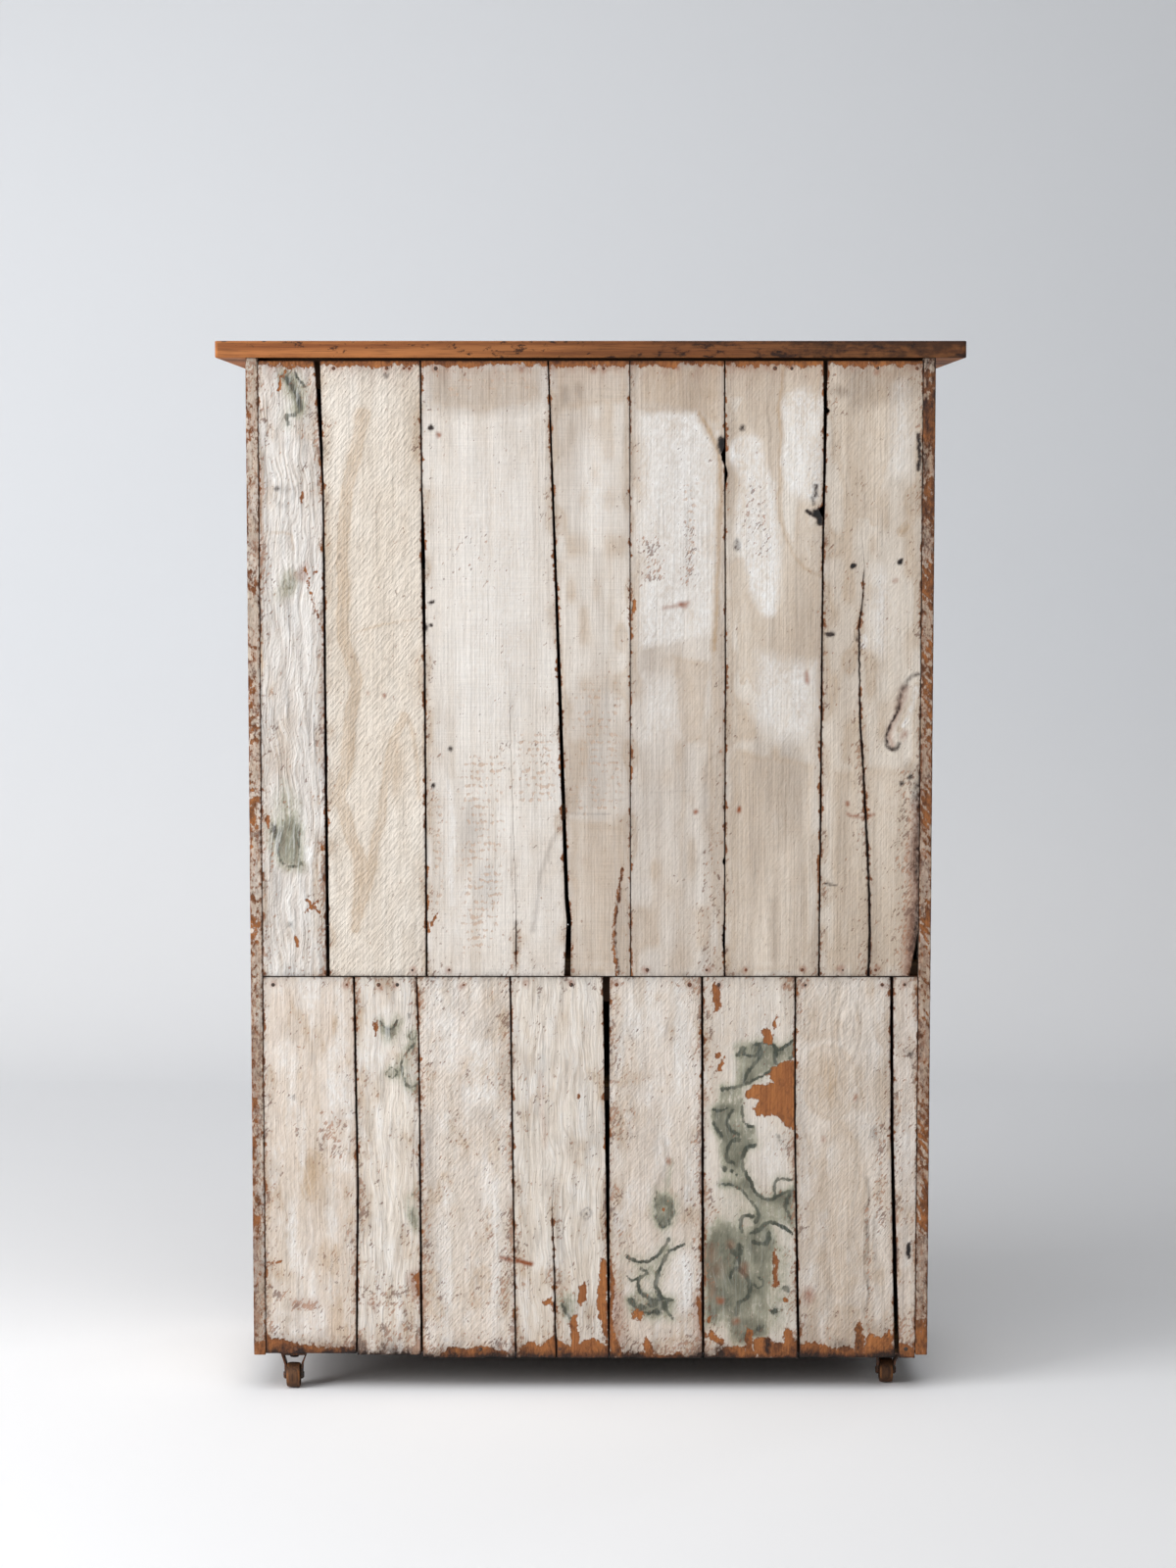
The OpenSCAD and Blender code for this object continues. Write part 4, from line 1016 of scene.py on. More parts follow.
UPPER_BOARDS = (
    BackBoard("upper", 1, -0.55, grain=0.9, brush=0.25, flecks=0.22, mottled=0.6,
              knots=(Knot((33, 1208), 6, 18),), marks=(
        *scrolls((5.5, (30, 1368), (42, 1358), (54, 1342), (58, 1328), (50, 1321), (38, 1320), (38, 1308)),
            (4, (48, 1374), (56, 1362), (64, 1354))),
        *patches(L.WASH, (0.6, 8, (28, 1378), (50, 1372), (64, 1344), (62, 1316), (44, 1324), (32, 1348)),
            (0.75, 10, (18, 806), (30, 836), (48, 806), (54, 760), (50, 722), (34, 714), (20, 724),
            (14, 760))),
        *strokes(L.WASH, (8, 0.8, 4, (30, 1368), (42, 1358), (54, 1342), (58, 1328))),
        *strokes(L.TAN, (4, 1.3, 2.5, (1, 1280), (2, 1200), (1, 1120), (2, 1040), (1, 940)),
            (2, 0.9, 2, (6, 1160), (30, 1162), (42, 1158), (44, 1140))),
        *strokes(L.RUST, (2.4, 0.5, 2.5, (1, 1250), (2, 1180), (1, 1110))),
        *strokes(L.BARE, (2.4, 1, 3, (24, 1352), (34, 1374), (46, 1380)),
            (1.6, 0.8, 3, (56, 1124), (62, 1106), (70, 1084), (76, 1062)),
            (1.6, 0.75, 3, (66, 1104), (76, 1112), (82, 1122)),
            (2, 0.8, 3, (66, 1090), (74, 1070), (80, 1050)), (3.4, 1, 3, (62, 672), (76, 658)),
            (3, 1, 3, (60, 656), (74, 672))),
        *strokes(L.GREY, (4, 0.9, 5, (4, 1320), (7, 1250), (5, 1180), (8, 1100), (5, 1000)),
            (5, 0.9, 4, (18, 1214), (26, 1196), (38, 1202), (48, 1222))),
        *blots(L.GREY, (36, 1282, 5, 6, 0.7, 4), (30, 1220, 14, 8, 0.7, 6)),
        *blots(L.GRIME, (23, 1222, 4, 3.5, 1, 2), (16, 766, 3, 8, 0.7, 3), (38, 637, 2.5, 4, 0.9)),
        *blots(L.BARE, (56, 1212, 2, 7), (10, 778, 2, 8), (82, 744, 2.4, 5), (46, 615, 2, 7)),
        *patches(L.RUST, (0.5, 5, (44, 1108), (54, 1120), (60, 1126), (64, 1114), (62, 1100), (52, 1100))),
        *blots(L.WASH, (40, 1098, 13, 16, 0.9, 6), (30, 1080, 10, 10, 0.5, 6), (36, 756, 16, 26, 0.6, 8)),
        *scrolls((5.5, (14, 774), (17, 760), (18, 744), (22, 728), (30, 718), (44, 716)),
            (4.5, (49, 764), (50, 746), (48, 726), (52, 716)), strength=0.6),
        *blots(L.WHITE, (33, 731, 8, 8, 1.2, 3), (60, 733, 8, 13, 1.2, 4), (60, 1000, 30, 190, 0.5, 30)),
        *blots(L.TAN, (30, 870, 24, 60, 0.35, 16)),
    )),
    BackBoard("upper", 2, 0.0, grain=0.1, brush=0.42, flecks=0.12, marks=(
        *strokes(L.TAN, (14, 0.75, 9, (140, 1318), (127, 1259), (113, 1189), (112, 1105), (114, 1025),
            (128, 966), (118, 915), (114, 845), (107, 810), (117, 761), (134, 717), (130, 651)),
            (10, 0.7, 8, (190, 920), (176, 870), (162, 792), (144, 704), (127, 633)),
            (9, 0.5, 8, (190, 920), (205, 894), (215, 810)),
            (2, 0.6, 3, (114, 1022), (162, 1039), (211, 1049))),
        *blots(L.TAN, (183, 850, 20, 60, 0.4, 18)),
        *strokes(L.GREY, (5, 0.5, 8, (128, 1000), (124, 930), (122, 860))),
        *blots(L.GRIME, (170, 1370, 2.5, 4, 0.8), (108, 1131, 2, 4, 0.7)),
        *blots(L.RUST, (167, 949, 2, 2.5, 0.9), (145, 949, 2, 2.5, 0.7)),
    )),
    BackBoard("upper", 3, -0.35, arris=0.7, grain=0.12, brush=0.08, flecks=0.15, mottled=0.3, saw=0.28,
              shaded=0.25,
              cracks=(Crack(((329, 1124, 0), (334, 887, 0.25), (341, 650, 0.4), (341, 610, 1.8),
                  (341, 592, 0.8), (340, 569, 0.4))),), marks=(
        *patches(L.GREY,
            (0.7, 14, (222, 1392), (386, 1392), (388, 1340), (330, 1318), (270, 1322), (222, 1336))),
        *patches(L.TAN, (0.35, 14, (222, 1392), (386, 1392), (388, 1330), (300, 1310), (222, 1326)),
            (0.3, 26, (222, 620), (400, 620), (400, 568), (222, 568))),
        *patches(L.HATCH, (0.7, 14, (226, 1384), (384, 1384), (384, 1340), (226, 1330)),
            (1, 9, (225, 830), (247, 822), (247, 670), (225, 660)),
            (1, 14, (262, 870), (330, 880), (330, 640), (300, 590), (262, 600)),
            (1, 12, (335, 900), (398, 900), (400, 800), (345, 790))),
        *blots(L.GREY, (350, 1362, 20, 8, 0.5, 8), (278, 765, 13, 40, 0.55, 12), (300, 690, 16, 34, 0.4, 12)),
        *patches(L.FLECK, (0.4, 14, (230, 1180), (300, 1170), (330, 1120), (320, 1080), (230, 1110)),
            (0.45, 18, (300, 900), (398, 910), (398, 840), (320, 830)),
            (0.35, 12, (225, 880), (250, 860), (245, 620), (225, 600))),
        *strokes(L.WHITE, (8, 0.7, 5, (253, 828), (254, 740), (253, 668)),
            (5, 0.6, 4, (274, 700), (276, 640))),
        *strokes(L.GREY, (4, 0.8, 4, (395, 761), (373, 704), (365, 633))),
        *strokes(L.BARE, (2.4, 1, 3, (232, 654), (226, 642), (221, 629))),
        *blots(L.GRIME, (230, 1305, 3.4, 3.4, 1.6, 1.5), (230, 1073, 3, 2.6, 1.6, 1.5),
            (230, 1043, 3, 3, 1.4, 1.5), (222, 1040, 3, 6, 1.6, 2), (253, 875, 2.8, 3, 1.4, 1.5),
            (232, 824, 3.2, 3.2, 1.6, 1.5)),
        *blots(L.RUST, (241, 1295, 3, 3, 1, 2), (212, 1055, 4, 4, 1, 2)),
        *blots(L.WHITE, (310, 1080, 66, 200, 0.45, 40)),
        *strokes(L.TAN, (12, 0.35, 12, (300, 1300), (306, 1200), (300, 1100))),
    )),
    BackBoard("upper", 4, -0.3, arris=0.5, grain=0.12, brush=0.06, flecks=0.1, saw=0.3, shaded=0.8, dingy=0.3,
              marks=(
        *blots(L.GREY, (404, 1345, 8, 13, 1, 5), (424, 1349, 7, 12, 1, 5)),
        *patches(L.TAN, (0.5, 16, (388, 1392), (493, 1392), (493, 1330), (388, 1320)),
            (0.6, 24, (410, 780), (491, 780), (491, 568), (410, 568))),
        *patches(L.HATCH, (0.9, 14, (413, 970), (491, 975), (491, 780), (413, 780))),
        *patches(L.GREY, (0.4, 16, (424, 960), (470, 970), (470, 800), (430, 790))),
        *strokes(L.GREY, (2, 1, 2, (410, 788), (440, 787), (467, 789)),
            (1.6, 0.6, 2, (420, 803), (455, 806), (491, 811)),
            (12, 0.4, 12, (450, 1130), (454, 1000), (452, 860), (448, 760))),
        *strokes(L.TAN, (10, 0.45, 10, (400, 1280), (396, 1180), (402, 1060))),
        *strokes(L.BARE, (2.4, 1, 3, (482, 712), (475, 668), (473, 615), (474, 569))),
        *strokes(L.GRIME, (1.6, 1.2, 1.5, (482, 712), (476, 668), (475, 615), (476, 569))),
        *blots(L.WHITE, (446, 1220, 22, 70, 0.5, 20)),
    )),
    BackBoard("upper", 5, -0.3, arris=0.5, grain=0.12, brush=0.14, flecks=0.1, saw=0.15, shaded=0.8,
              dingy=0.3,
              notches=(Notch(1264, 24, 4, far=True), Notch(724, 12, 2.5, far=True),
                  Notch(620, 52, 2, far=True)), marks=(
        *patches(L.TAN,
            (0.75, 14, (497, 1392), (621, 1392), (621, 1300), (600, 1296), (580, 1316), (500, 1330)),
            (0.45, 14, (540, 1010), (606, 1000), (600, 880), (560, 870))),
        *patches(L.GREY, (0.4, 14, (560, 1392), (621, 1392), (616, 1340), (570, 1330))),
        *patches(L.WHITE, (0.7, 5, (504, 1320), (578, 1322), (604, 1278), (610, 1200), (606, 1090),
            (600, 1030), (504, 1010)), (0.5, 12, (508, 974), (556, 962), (562, 890), (512, 880))),
        *strokes(L.TAN,
            (9, 1.1, 4, (584, 1322), (606, 1280), (614, 1220), (611, 1150), (609, 1060), (606, 1010)),
            (16, 0.45, 16, (560, 860), (566, 760), (556, 640))),
        *patches(L.HATCH, (1, 8, (562, 1230), (584, 1232), (584, 1120), (562, 1110))),
        *strokes(L.GREY, (9, 0.55, 8, (572, 1220), (571, 1160), (573, 1100)),
            (2, 0.8, 3, (619, 870), (597, 848), (593, 789), (605, 746)),
            (2, 0.7, 3, (582, 579), (596, 600), (608, 637)), (2, 0.7, 3, (584, 717), (590, 735), (605, 730)),
            (1.6, 0.6, 2, (491, 811), (530, 816), (569, 821))),
        *patches(L.FLECK, (1, 9, (505, 1155), (540, 1158), (540, 1096), (505, 1094)),
            (0.9, 8, (562, 1180), (584, 1180), (584, 1090), (562, 1090)),
            (0.7, 12, (590, 760), (619, 780), (619, 570), (580, 570))),
        *strokes(L.RUST, (4, 0.7, 3, (540, 1062), (552, 1064), (566, 1068), (572, 1070))),
        *blots(L.RUST, (564, 1067, 7, 4, 1, 3), (581, 792, 3, 3, 1, 2), (490, 782, 3, 3, 0.8, 2)),
        *blots(L.BARE, (499, 1064, 2.2, 10)),
        *blots(L.GRIME, (616, 1277, 5, 9, 2.4, 4)),
    )),
    BackBoard("upper", 6, -0.1, arris=0.6, grain=0.14, brush=0.14, flecks=0.1, saw=0.15, shaded=0.7,
              dingy=0.35,
              notches=(Notch(1240, 24, 3), Notch(1192, 16, 5, far=True)), marks=(
        *patches(L.TAN, (0.6, 10, (621, 1392), (748, 1392), (748, 1350), (621, 1340)),
            (0.55, 20, (624, 880), (744, 860), (740, 570), (624, 570))),
        *strokes(L.GREY, (8, 0.5, 8, (650, 1392), (648, 1350), (652, 1310)),
            (9, 0.4, 8, (668, 880), (670, 800), (664, 700)), (9, 0.35, 8, (726, 860), (724, 780), (728, 690)),
            (8, 0.7, 7, (686, 668), (686, 597)), (1.6, 1, 2, (680, 1376), (678, 1330), (679, 1286))),
        *patches(L.TAN, (0.6, 7, (670, 1392), (698, 1392), (696, 1300), (690, 1220), (700, 1160), (746, 1120),
            (746, 1000), (690, 960), (660, 950), (640, 1000), (636, 1080), (650, 1120), (640, 1160),
            (628, 1220), (621, 1300), (636, 1330)), curved=True),
        *strokes(L.TAN, (8, 1, 4, (697, 1392), (692, 1330), (693, 1250), (688, 1212), (694, 1170),
            (706, 1140), (724, 1120), (746, 1108)),
            (5, 0.9, 4, (638, 1128), (652, 1106), (650, 1070), (644, 1030), (646, 960))),
        *patches(L.WHITE,
            (0.9, 5, (704, 1345), (745, 1340), (744, 1216), (720, 1212), (698, 1234), (698, 1300)),
            (0.85, 5, (626, 1268), (638, 1290), (664, 1288), (676, 1250), (684, 1220), (690, 1150),
            (692, 1080), (686, 1052), (664, 1060), (650, 1110), (636, 1150), (634, 1190),
            (642, 1230)), curved=True),
        *patches(L.WHITE, (0.6, 12, (664, 1000), (744, 990), (740, 890), (690, 884), (660, 920))),
        *patches(L.FLECK, (0.6, 10, (636, 1240), (684, 1230), (684, 1120), (640, 1130))),
        *blots(L.GRIME, (641, 1300, 4, 3, 1.2, 2), (636, 1148, 4, 8, 0.7, 3), (743, 1190, 6, 5, 2.6, 3),
            (745, 1182, 4, 6, 2.4, 3)),
        *strokes(L.GRIME, (3, 2.4, 2, (728, 1193), (738, 1188), (746, 1184)),
            (3, 1.6, 2, (738, 1226), (739, 1212)), (2.4, 1.4, 2, (735, 1210), (737, 1202))),
        *blots(L.RUST, (728, 974, 3.4, 9, 0.8, 3), (614, 904, 3, 3, 0.8, 2), (640, 790, 3, 4, 1, 2)),
        *blots(L.GREY, (700, 815, 20, 76, 0.75, 16)),
    )),
    BackBoard("upper", 7, 0.0, grain=0.14, brush=0.16, flecks=0.25, shaded=0.5, dingy=0.3,
              cracks=(Crack(((801, 1176, 0), (805, 1124, 0.5), (804, 1085, 0.9), (799, 1036, 1.2),
                  (800, 966, 1.6), (801, 915, 1.7), (805, 862, 2.2), (809, 792, 2.4), (813, 721, 2.6),
                  (816, 650, 2.8), (815, 569, 2.8))),),
              knots=(Knot((862, 926), 7, 30, 1.5, 0.4),),
              notches=(Notch(1324, 8, 4),), marks=(
        *strokes(L.GREY, (1.6, 0.8, 2, (800, 1240), (802, 1205), (801, 1176))),
        *patches(L.GREY,
            (0.85, 12, (765, 1392), (884, 1392), (884, 1344), (850, 1330), (820, 1338), (785, 1322))),
        *patches(L.TAN, (0.6, 14, (752, 1392), (884, 1392), (884, 1310), (840, 1260), (820, 1180),
            (790, 1180), (768, 1250), (752, 1330)),
            (0.45, 24, (752, 860), (884, 860), (884, 569), (752, 569))),
        *strokes(L.TAN, (12, 0.8, 10, (790, 1300), (806, 1240), (818, 1180)),
            (8, 0.8, 4, (876, 960), (862, 930), (854, 900))),
        *blots(L.WHITE, (852, 1300, 12, 60, 0.6, 12), (826, 1060, 16, 60, 0.55, 12),
            (806, 1018, 5, 10, 1.3, 3)),
        *blots(L.GREY, (776, 1350, 14, 9, 1.1, 7), (838, 1356, 24, 14, 0.9, 12), (818, 1340, 10, 12, 0.7, 8),
            (852, 1230, 3, 9, 0.5, 3), (866, 848, 8, 12, 0.7, 6), (772, 720, 14, 120, 0.4, 14)),
        *strokes(L.GRIME, (4, 2, 2, (875, 1292), (876, 1268), (876, 1246)),
            (4, 1.8, 2, (754, 1027), (762, 1027)),
            (3, 1.1, 2.5, (882, 974), (868, 970), (858, 956), (850, 934)),
            (3.4, 1.5, 2, (850, 934), (841, 912), (838, 888), (842, 876), (850, 874), (856, 882)),
            (2.4, 1.3, 2, (757, 696), (770, 694))),
        *blots(L.GRIME, (789, 1119, 3.6, 3.2, 2.4, 2), (852, 1124, 3.6, 3.2, 2.4, 2),
            (795, 1022, 2, 4, 0.9, 2), (868, 836, 3.4, 4, 1.4, 2), (858, 828, 3, 3, 1.1, 2)),
        *blots(L.RUST, (846, 1100, 4, 3, 0.6, 3), (783, 804, 3, 4, 1, 2), (862, 892, 4, 5, 0.6, 4)),
        *patches(L.TAN,
            (0.8, 5, (850, 1170), (862, 1180), (874, 1184), (866, 1164), (854, 1160)), curved=True),
        *strokes(L.RUST, (7, 0.6, 4, (860, 956), (848, 926), (841, 900), (846, 878)),
            (3, 1, 2, (782, 789), (800, 786), (818, 789))),
        *strokes(L.WHITE, (5, 1.2, 3, (874, 956), (866, 934), (858, 904))),
        *patches(L.GRIME, (1.3, 9, (878, 845), (884, 850), (884, 569), (872, 569), (876, 700))),
        *patches(L.RUST, (0.8, 9, (872, 800), (884, 810), (884, 569), (862, 569), (868, 700))),
        *patches(L.FLECK, (1, 14, (850, 850), (884, 850), (884, 569), (846, 569))),
    )),
)

LOWER_BOARDS = (
    BackBoard("lower", 1, 0.35, grain=0.35, brush=0.16, flecks=0.25, mottled=0.9, foot=2.0, marks=(
        *blots(L.TAN, (63, 299, 14, 36, 0.9, 11), (74, 290, 34, 70, 0.35, 30), (95, 110, 22, 60, 0.4, 16)),
        *blots(L.GREY, (62, 318, 7, 9, 0.5, 6)),
        *patches(L.FLECK, (1.2, 14, (72, 385), (110, 385), (110, 318), (75, 318)),
            (1.1, 6, (36, 372), (50, 372), (50, 350), (36, 350)),
            (1.5, 6, (4, 142), (30, 140), (30, 126), (4, 124)),
            (1.4, 6, (34, 128), (74, 130), (74, 112), (34, 110))),
        *patches(L.RUST, (0.35, 6, (36, 124), (68, 128), (70, 118), (36, 114))),
        *patches(L.GRIME, (0.42, 8, (0, 88), (40, 76), (121, 66), (121, 52), (40, 62), (0, 74))),
        *blots(L.GRIME, (43, 406, 2, 3, 0.9)),
        *strokes(L.BARE, (2, 1, 3, (1, 178), (21, 179))),
        *patches(L.BARE, (1, 4, (0, 78), (20, 73), (45, 66), (80, 60), (121, 58), (121, 40), (0, 40))),
    )),
    BackBoard("lower", 2, 0.05, grain=0.6, brush=0.08, flecks=0.25, mottled=0.8, foot=3.0,
              knots=(Knot((160, 300), 7, 60, 4.0, 0.35),), marks=(
        *patches(L.WASH, (0.5, 6, (156, 500), (170, 502), (186, 508), (182, 478), (162, 474)),
            (0.25, 6, (190, 480), (208, 476), (206, 420), (190, 430))),
        *scrolls((4.5, (156, 506), (164, 498), (174, 498), (181, 512)), (4.2, (206, 478), (196, 468),
            (188, 455), (187, 441), (192, 427), (200, 419), (209, 424)), halo=0.8, strength=0.8),
        *blots(L.WASH, (168, 490, 12, 10, 0.45, 7), (202, 490, 8, 9, 0.5, 4), (204, 412, 7, 10, 0.6, 5),
            (172, 438, 10, 9, 0.45, 4), (204, 238, 7, 16, 0.8, 5)),
        *blots(L.LINE, (195, 517, 4, 5, 0.5, 4)),
        *scrolls((3.6, (197, 492), (203, 497), (208, 490), (203, 484), (197, 489)),
            (3.6, (164, 438), (172, 446), (181, 439), (173, 430), (164, 437)), strength=0.65),
        *blots(L.GREY, (173, 438, 6, 6, 0.5, 3)),
        *patches(L.FLECK, (0.95, 12, (128, 152), (206, 156), (206, 100), (128, 104)),
            (1, 10, (150, 100), (210, 104), (210, 56), (150, 60))),
        *strokes(L.RUST, (2, 0.9, 2.5, (140, 122), (154, 120)), (2, 0.8, 2.5, (146, 130), (147, 110))),
        *strokes(L.TAN, (2, 1.2, 2, (128, 182), (142, 181))),
        *patches(L.BARE, (1, 3, (146, 504), (152, 508), (154, 494), (150, 488)),
            (1, 5, (200, 162), (210, 166), (212, 138), (206, 134))),
        *scrolls((4.5, (196, 252), (204, 240), (210, 226)), strength=0.5),
        *scrolls((4.5, (198, 264), (206, 272), (210, 280)), strength=0.4),
        *patches(L.RUST, (0.6, 7, (190, 160), (212, 170), (212, 126), (200, 130))),
    )),
    BackBoard("lower", 3, 0.3, arris=0.7, grain=0.3, brush=0.34, flecks=0.4, mottled=0.9, foot=3.0, marks=(
        *patches(L.WHITE, (0.55, 20, (223, 524), (276, 524), (280, 455), (223, 451))),
        *patches(L.GREY, (0.6, 8, (216, 380), (228, 380), (232, 250), (226, 130), (216, 130))),
        *patches(L.FLECK, (0.5, 16, (218, 170), (330, 160), (330, 90), (222, 90))),
        *blots(L.TAN, (286, 440, 18, 26, 0.6, 14), (292, 147, 16, 30, 0.6, 14)),
        *strokes(L.GREY, (9, 0.5, 8, (219, 335), (228, 260), (236, 160), (245, 98))),
        *strokes(L.RUST, (3.4, 1.3, 2.5, (319, 186), (344, 181), (363, 176))),
        *patches(L.BARE, (1, 3, (236, 52), (250, 59), (268, 55), (290, 61), (330, 56), (330, 40), (236, 40))),
    )),
    BackBoard("lower", 4, -0.1, arris=0.8, grain=0.6, brush=0.06, flecks=0.25, mottled=0.7,
              cracks=(Crack(((393, 325, 0), (389, 257, 0.5), (391, 198, 1.0), (392, 158, 2.0), (393, 98, 2.6),
                  (395, 47, 2.6))),),
              knots=(Knot((436, 243), 4.5, 16, 1.2, 0.8), Knot((428, 400), 9, 30, 5.0, 0.3)), marks=(
        *strokes(L.GREY, (2, 1.6, 2, (428, 243), (436, 251), (444, 243), (436, 235), (428, 243))),
        *blots(L.GRIME, (436, 243, 1.8, 1.8, 1, 1.5)),
        *blots(L.BARE, (425, 406, 2, 4)),
        *strokes(L.RUST, (4.5, 1.7, 2.5, (343, 182), (363, 176)),
            (3, 0.4, 4, (372, 440), (374, 380), (380, 340))),
        *patches(L.BARE, (1, 3, (455, 182), (463, 178), (464, 60), (456, 90), (450, 120), (452, 160)),
            (1, 3, (424, 147), (431, 150), (435, 140), (433, 126), (425, 118), (422, 124)),
            (1, 3, (378, 126), (391, 130), (391, 121), (380, 121)),
            (1, 3, (416, 104), (424, 106), (426, 45), (415, 45)), (1, 3, (342, 60), (360, 72), (372, 62),
            (392, 76), (413, 64), (440, 74), (466, 62), (466, 40), (342, 40))),
        *blots(L.WASH, (410, 118, 10, 20, 0.95, 6)),
        *scrolls((4.5, (402, 122), (408, 108), (418, 100))),
    )),
    BackBoard("lower", 5, 0.3, grain=0.3, brush=0.25, flecks=0.3, mottled=0.8, shaded=0.3, marks=(
        *patches(L.WASH, (1, 4, (533, 276), (542, 273), (551, 268), (553, 246), (546, 227), (536, 223),
            (529, 233), (530, 256)),
            (0.55, 6, (490, 132), (506, 140), (540, 132), (552, 128), (552, 108), (534, 100), (498, 104)),
            (0.25, 9, (500, 178), (545, 190), (532, 150), (510, 150)),
            (0.55, 6, (492, 128), (516, 122), (552, 126), (554, 98), (520, 92), (494, 104))),
        *scrolls((3.4, (532, 276), (529, 252), (531, 234), (538, 224), (547, 229), (552, 247),
            (551, 266)), strength=0.7),
        *strokes(L.WASH, (6, 0.9, 4, (543, 262), (546, 290), (550, 318))),
        *scrolls((4.5, (551, 264), (554, 250), (548, 234), (540, 228)), strength=0.5),
        *scrolls((4, (534, 258), (526, 246), (530, 234), (538, 230)), strength=0.45),
        *blots(L.BARE, (541, 249, 2, 3), (504, 104, 6, 8), (591, 243, 3, 2.4)),
        *strokes(L.GREY, (5, 0.7, 4, (543, 345), (545, 321), (536, 296), (530, 276))),
        *blots(L.RUST, (547, 318, 3, 4, 0.9)),
        *scrolls((5, (490, 184), (504, 180), (520, 182), (534, 192), (546, 208)),
            (6, (546, 192), (536, 178), (530, 162), (530, 144), (538, 130), (550, 126)),
            (5.5, (516, 164), (507, 156), (508, 144), (514, 134), (526, 126), (536, 126)),
            (4, (494, 126), (504, 112), (518, 106), (532, 112)), (4, (540, 122), (548, 110), (554, 100))),
        *scrolls((4, (570, 204), (556, 198), (544, 190)), (3.5, (492, 160), (498, 154), (506, 158)),
            (3.5, (506, 170), (514, 166)), halo=0.3),
        *blots(L.LINE, (498, 122, 5, 6, 0.9, 4), (510, 116, 5, 4, 0.9, 4), (526, 120, 7, 5, 0.9, 4),
            (544, 116, 5, 8, 0.8, 4), (534, 108, 5, 4, 0.8, 4)),
        *blots(L.WHITE, (566, 150, 20, 44, 0.8, 12)),
        *patches(L.BARE, (1, 3, (468, 186), (474, 160), (472, 110), (476, 70), (486, 45), (466, 45)),
            (1, 3, (586, 130), (593, 120), (593, 84), (588, 84)),
            (1, 3, (514, 50), (518, 74), (524, 70), (530, 50))),
        *patches(L.RUST, (0.5, 8, (468, 150), (486, 130), (488, 60), (468, 60)),
            (0.5, 7, (580, 130), (594, 140), (594, 60), (582, 60))),
        *patches(L.FLECK, (0.9, 14, (568, 240), (592, 250), (592, 60), (574, 90)),
            (0.9, 12, (468, 250), (484, 240), (484, 100), (470, 100))),
    )),
    BackBoard("lower", 6, 0.1, grain=0.25, brush=0.15, mottled=0.5, shaded=0.35, marks=(
        *patches(L.WASH, (0.95, 6, (641, 474), (660, 478), (676, 482), (690, 474), (706, 478), (718, 490),
            (718, 462), (700, 452), (690, 448), (678, 436), (664, 424), (640, 422), (636, 440), (640, 456)),
            (0.95, 5, (616, 420), (640, 423), (648, 412), (645, 396), (644, 374), (650, 363), (662, 360),
            (663, 342), (650, 334), (646, 318), (649, 300), (660, 284), (640, 280), (618, 284), (618, 304),
            (616, 326), (613, 346), (608, 364), (606, 386), (610, 404)),
            (0.6, 5, (606, 392), (626, 390), (622, 366), (632, 352), (616, 350), (608, 366)),
            (0.5, 5, (626, 344), (642, 344), (640, 316), (628, 318)), (0.95, 5, (640, 284), (655, 292),
            (668, 276), (684, 266), (704, 272), (718, 286), (718, 222), (700, 232), (684, 234), (664, 224),
            (666, 240), (664, 256), (652, 272)), (1, 7, (612, 240), (640, 230), (650, 222), (664, 222),
            (684, 230), (686, 205), (682, 170), (680, 130), (676, 95), (678, 72), (662, 70), (650, 62),
            (634, 62), (632, 88), (620, 94), (600, 96), (597, 130), (599, 170), (606, 205)),
            (0.35, 8, (618, 284), (640, 280), (656, 262), (660, 244), (640, 238), (614, 244)),
            (0.7, 6, (592, 226), (612, 234), (616, 84), (592, 88)),
            (0.75, 12, (672, 218), (704, 206), (715, 186), (714, 120), (703, 82), (672, 78))),
        *blots(L.WASH, (622, 170, 20, 50, 0.9, 14), (640, 146, 14, 34, 0.7, 10), (648, 84, 22, 15, 0.8, 8),
            (666, 190, 8, 18, 0.5, 7), (670, 84, 10, 9, 0.6, 6)),
        *blots(L.LINE, (636, 176, 5, 20, 0.45, 6), (628, 120, 6, 14, 0.4, 6), (655, 78, 7, 8, 0.7, 6),
            (690, 112, 5, 6, 0.8, 4), (641, 196, 6, 11, 0.9, 5), (622, 308, 4, 4, 0.9, 3),
            (632, 306, 3, 3, 0.8, 2), (638, 301, 2.4, 2.4, 0.8, 2), (696, 350, 5, 8, 0.5, 5),
            (708, 140, 5, 4, 0.9, 4), (670, 84, 7, 6, 0.6, 5)),
        *blots(L.RUST, (606, 190, 5, 12, 0.35, 5), (604, 140, 5, 12, 0.35, 5), (650, 168, 5, 8, 0.5, 5),
            (628, 204, 5, 5, 0.4, 4), (616, 127, 6, 4, 0.9, 3), (638, 98, 4, 4, 0.8, 3),
            (612, 168, 8, 12, 0.3, 8)),
        *strokes(L.GREY, (9, 0.8, 8, (600, 226), (604, 160), (602, 96))),
        *blots(L.WHITE, (654, 182, 7, 30, 0.45, 6), (690, 322, 22, 34, 0.5, 10), (630, 262, 14, 14, 0.35, 9),
            (708, 180, 10, 26, 0.6, 8), (698, 108, 12, 16, 0.5, 8)),
        *scrolls((5, (718, 488), (704, 477), (692, 471), (684, 478), (672, 480), (660, 477)),
            (4.5, (684, 478), (688, 466), (687, 454), (691, 447)), (4, (716, 470), (712, 460), (706, 454)),
            (4.5, (641, 460), (646, 472), (649, 461), (662, 460), (665, 472)),
            (5, (666, 476), (669, 462), (664, 448), (655, 437), (649, 428)),
            (4.5, (615, 415), (626, 418), (640, 421), (654, 424), (664, 427), (674, 432), (684, 441)),
            (4, (606, 388), (616, 386), (624, 389)),
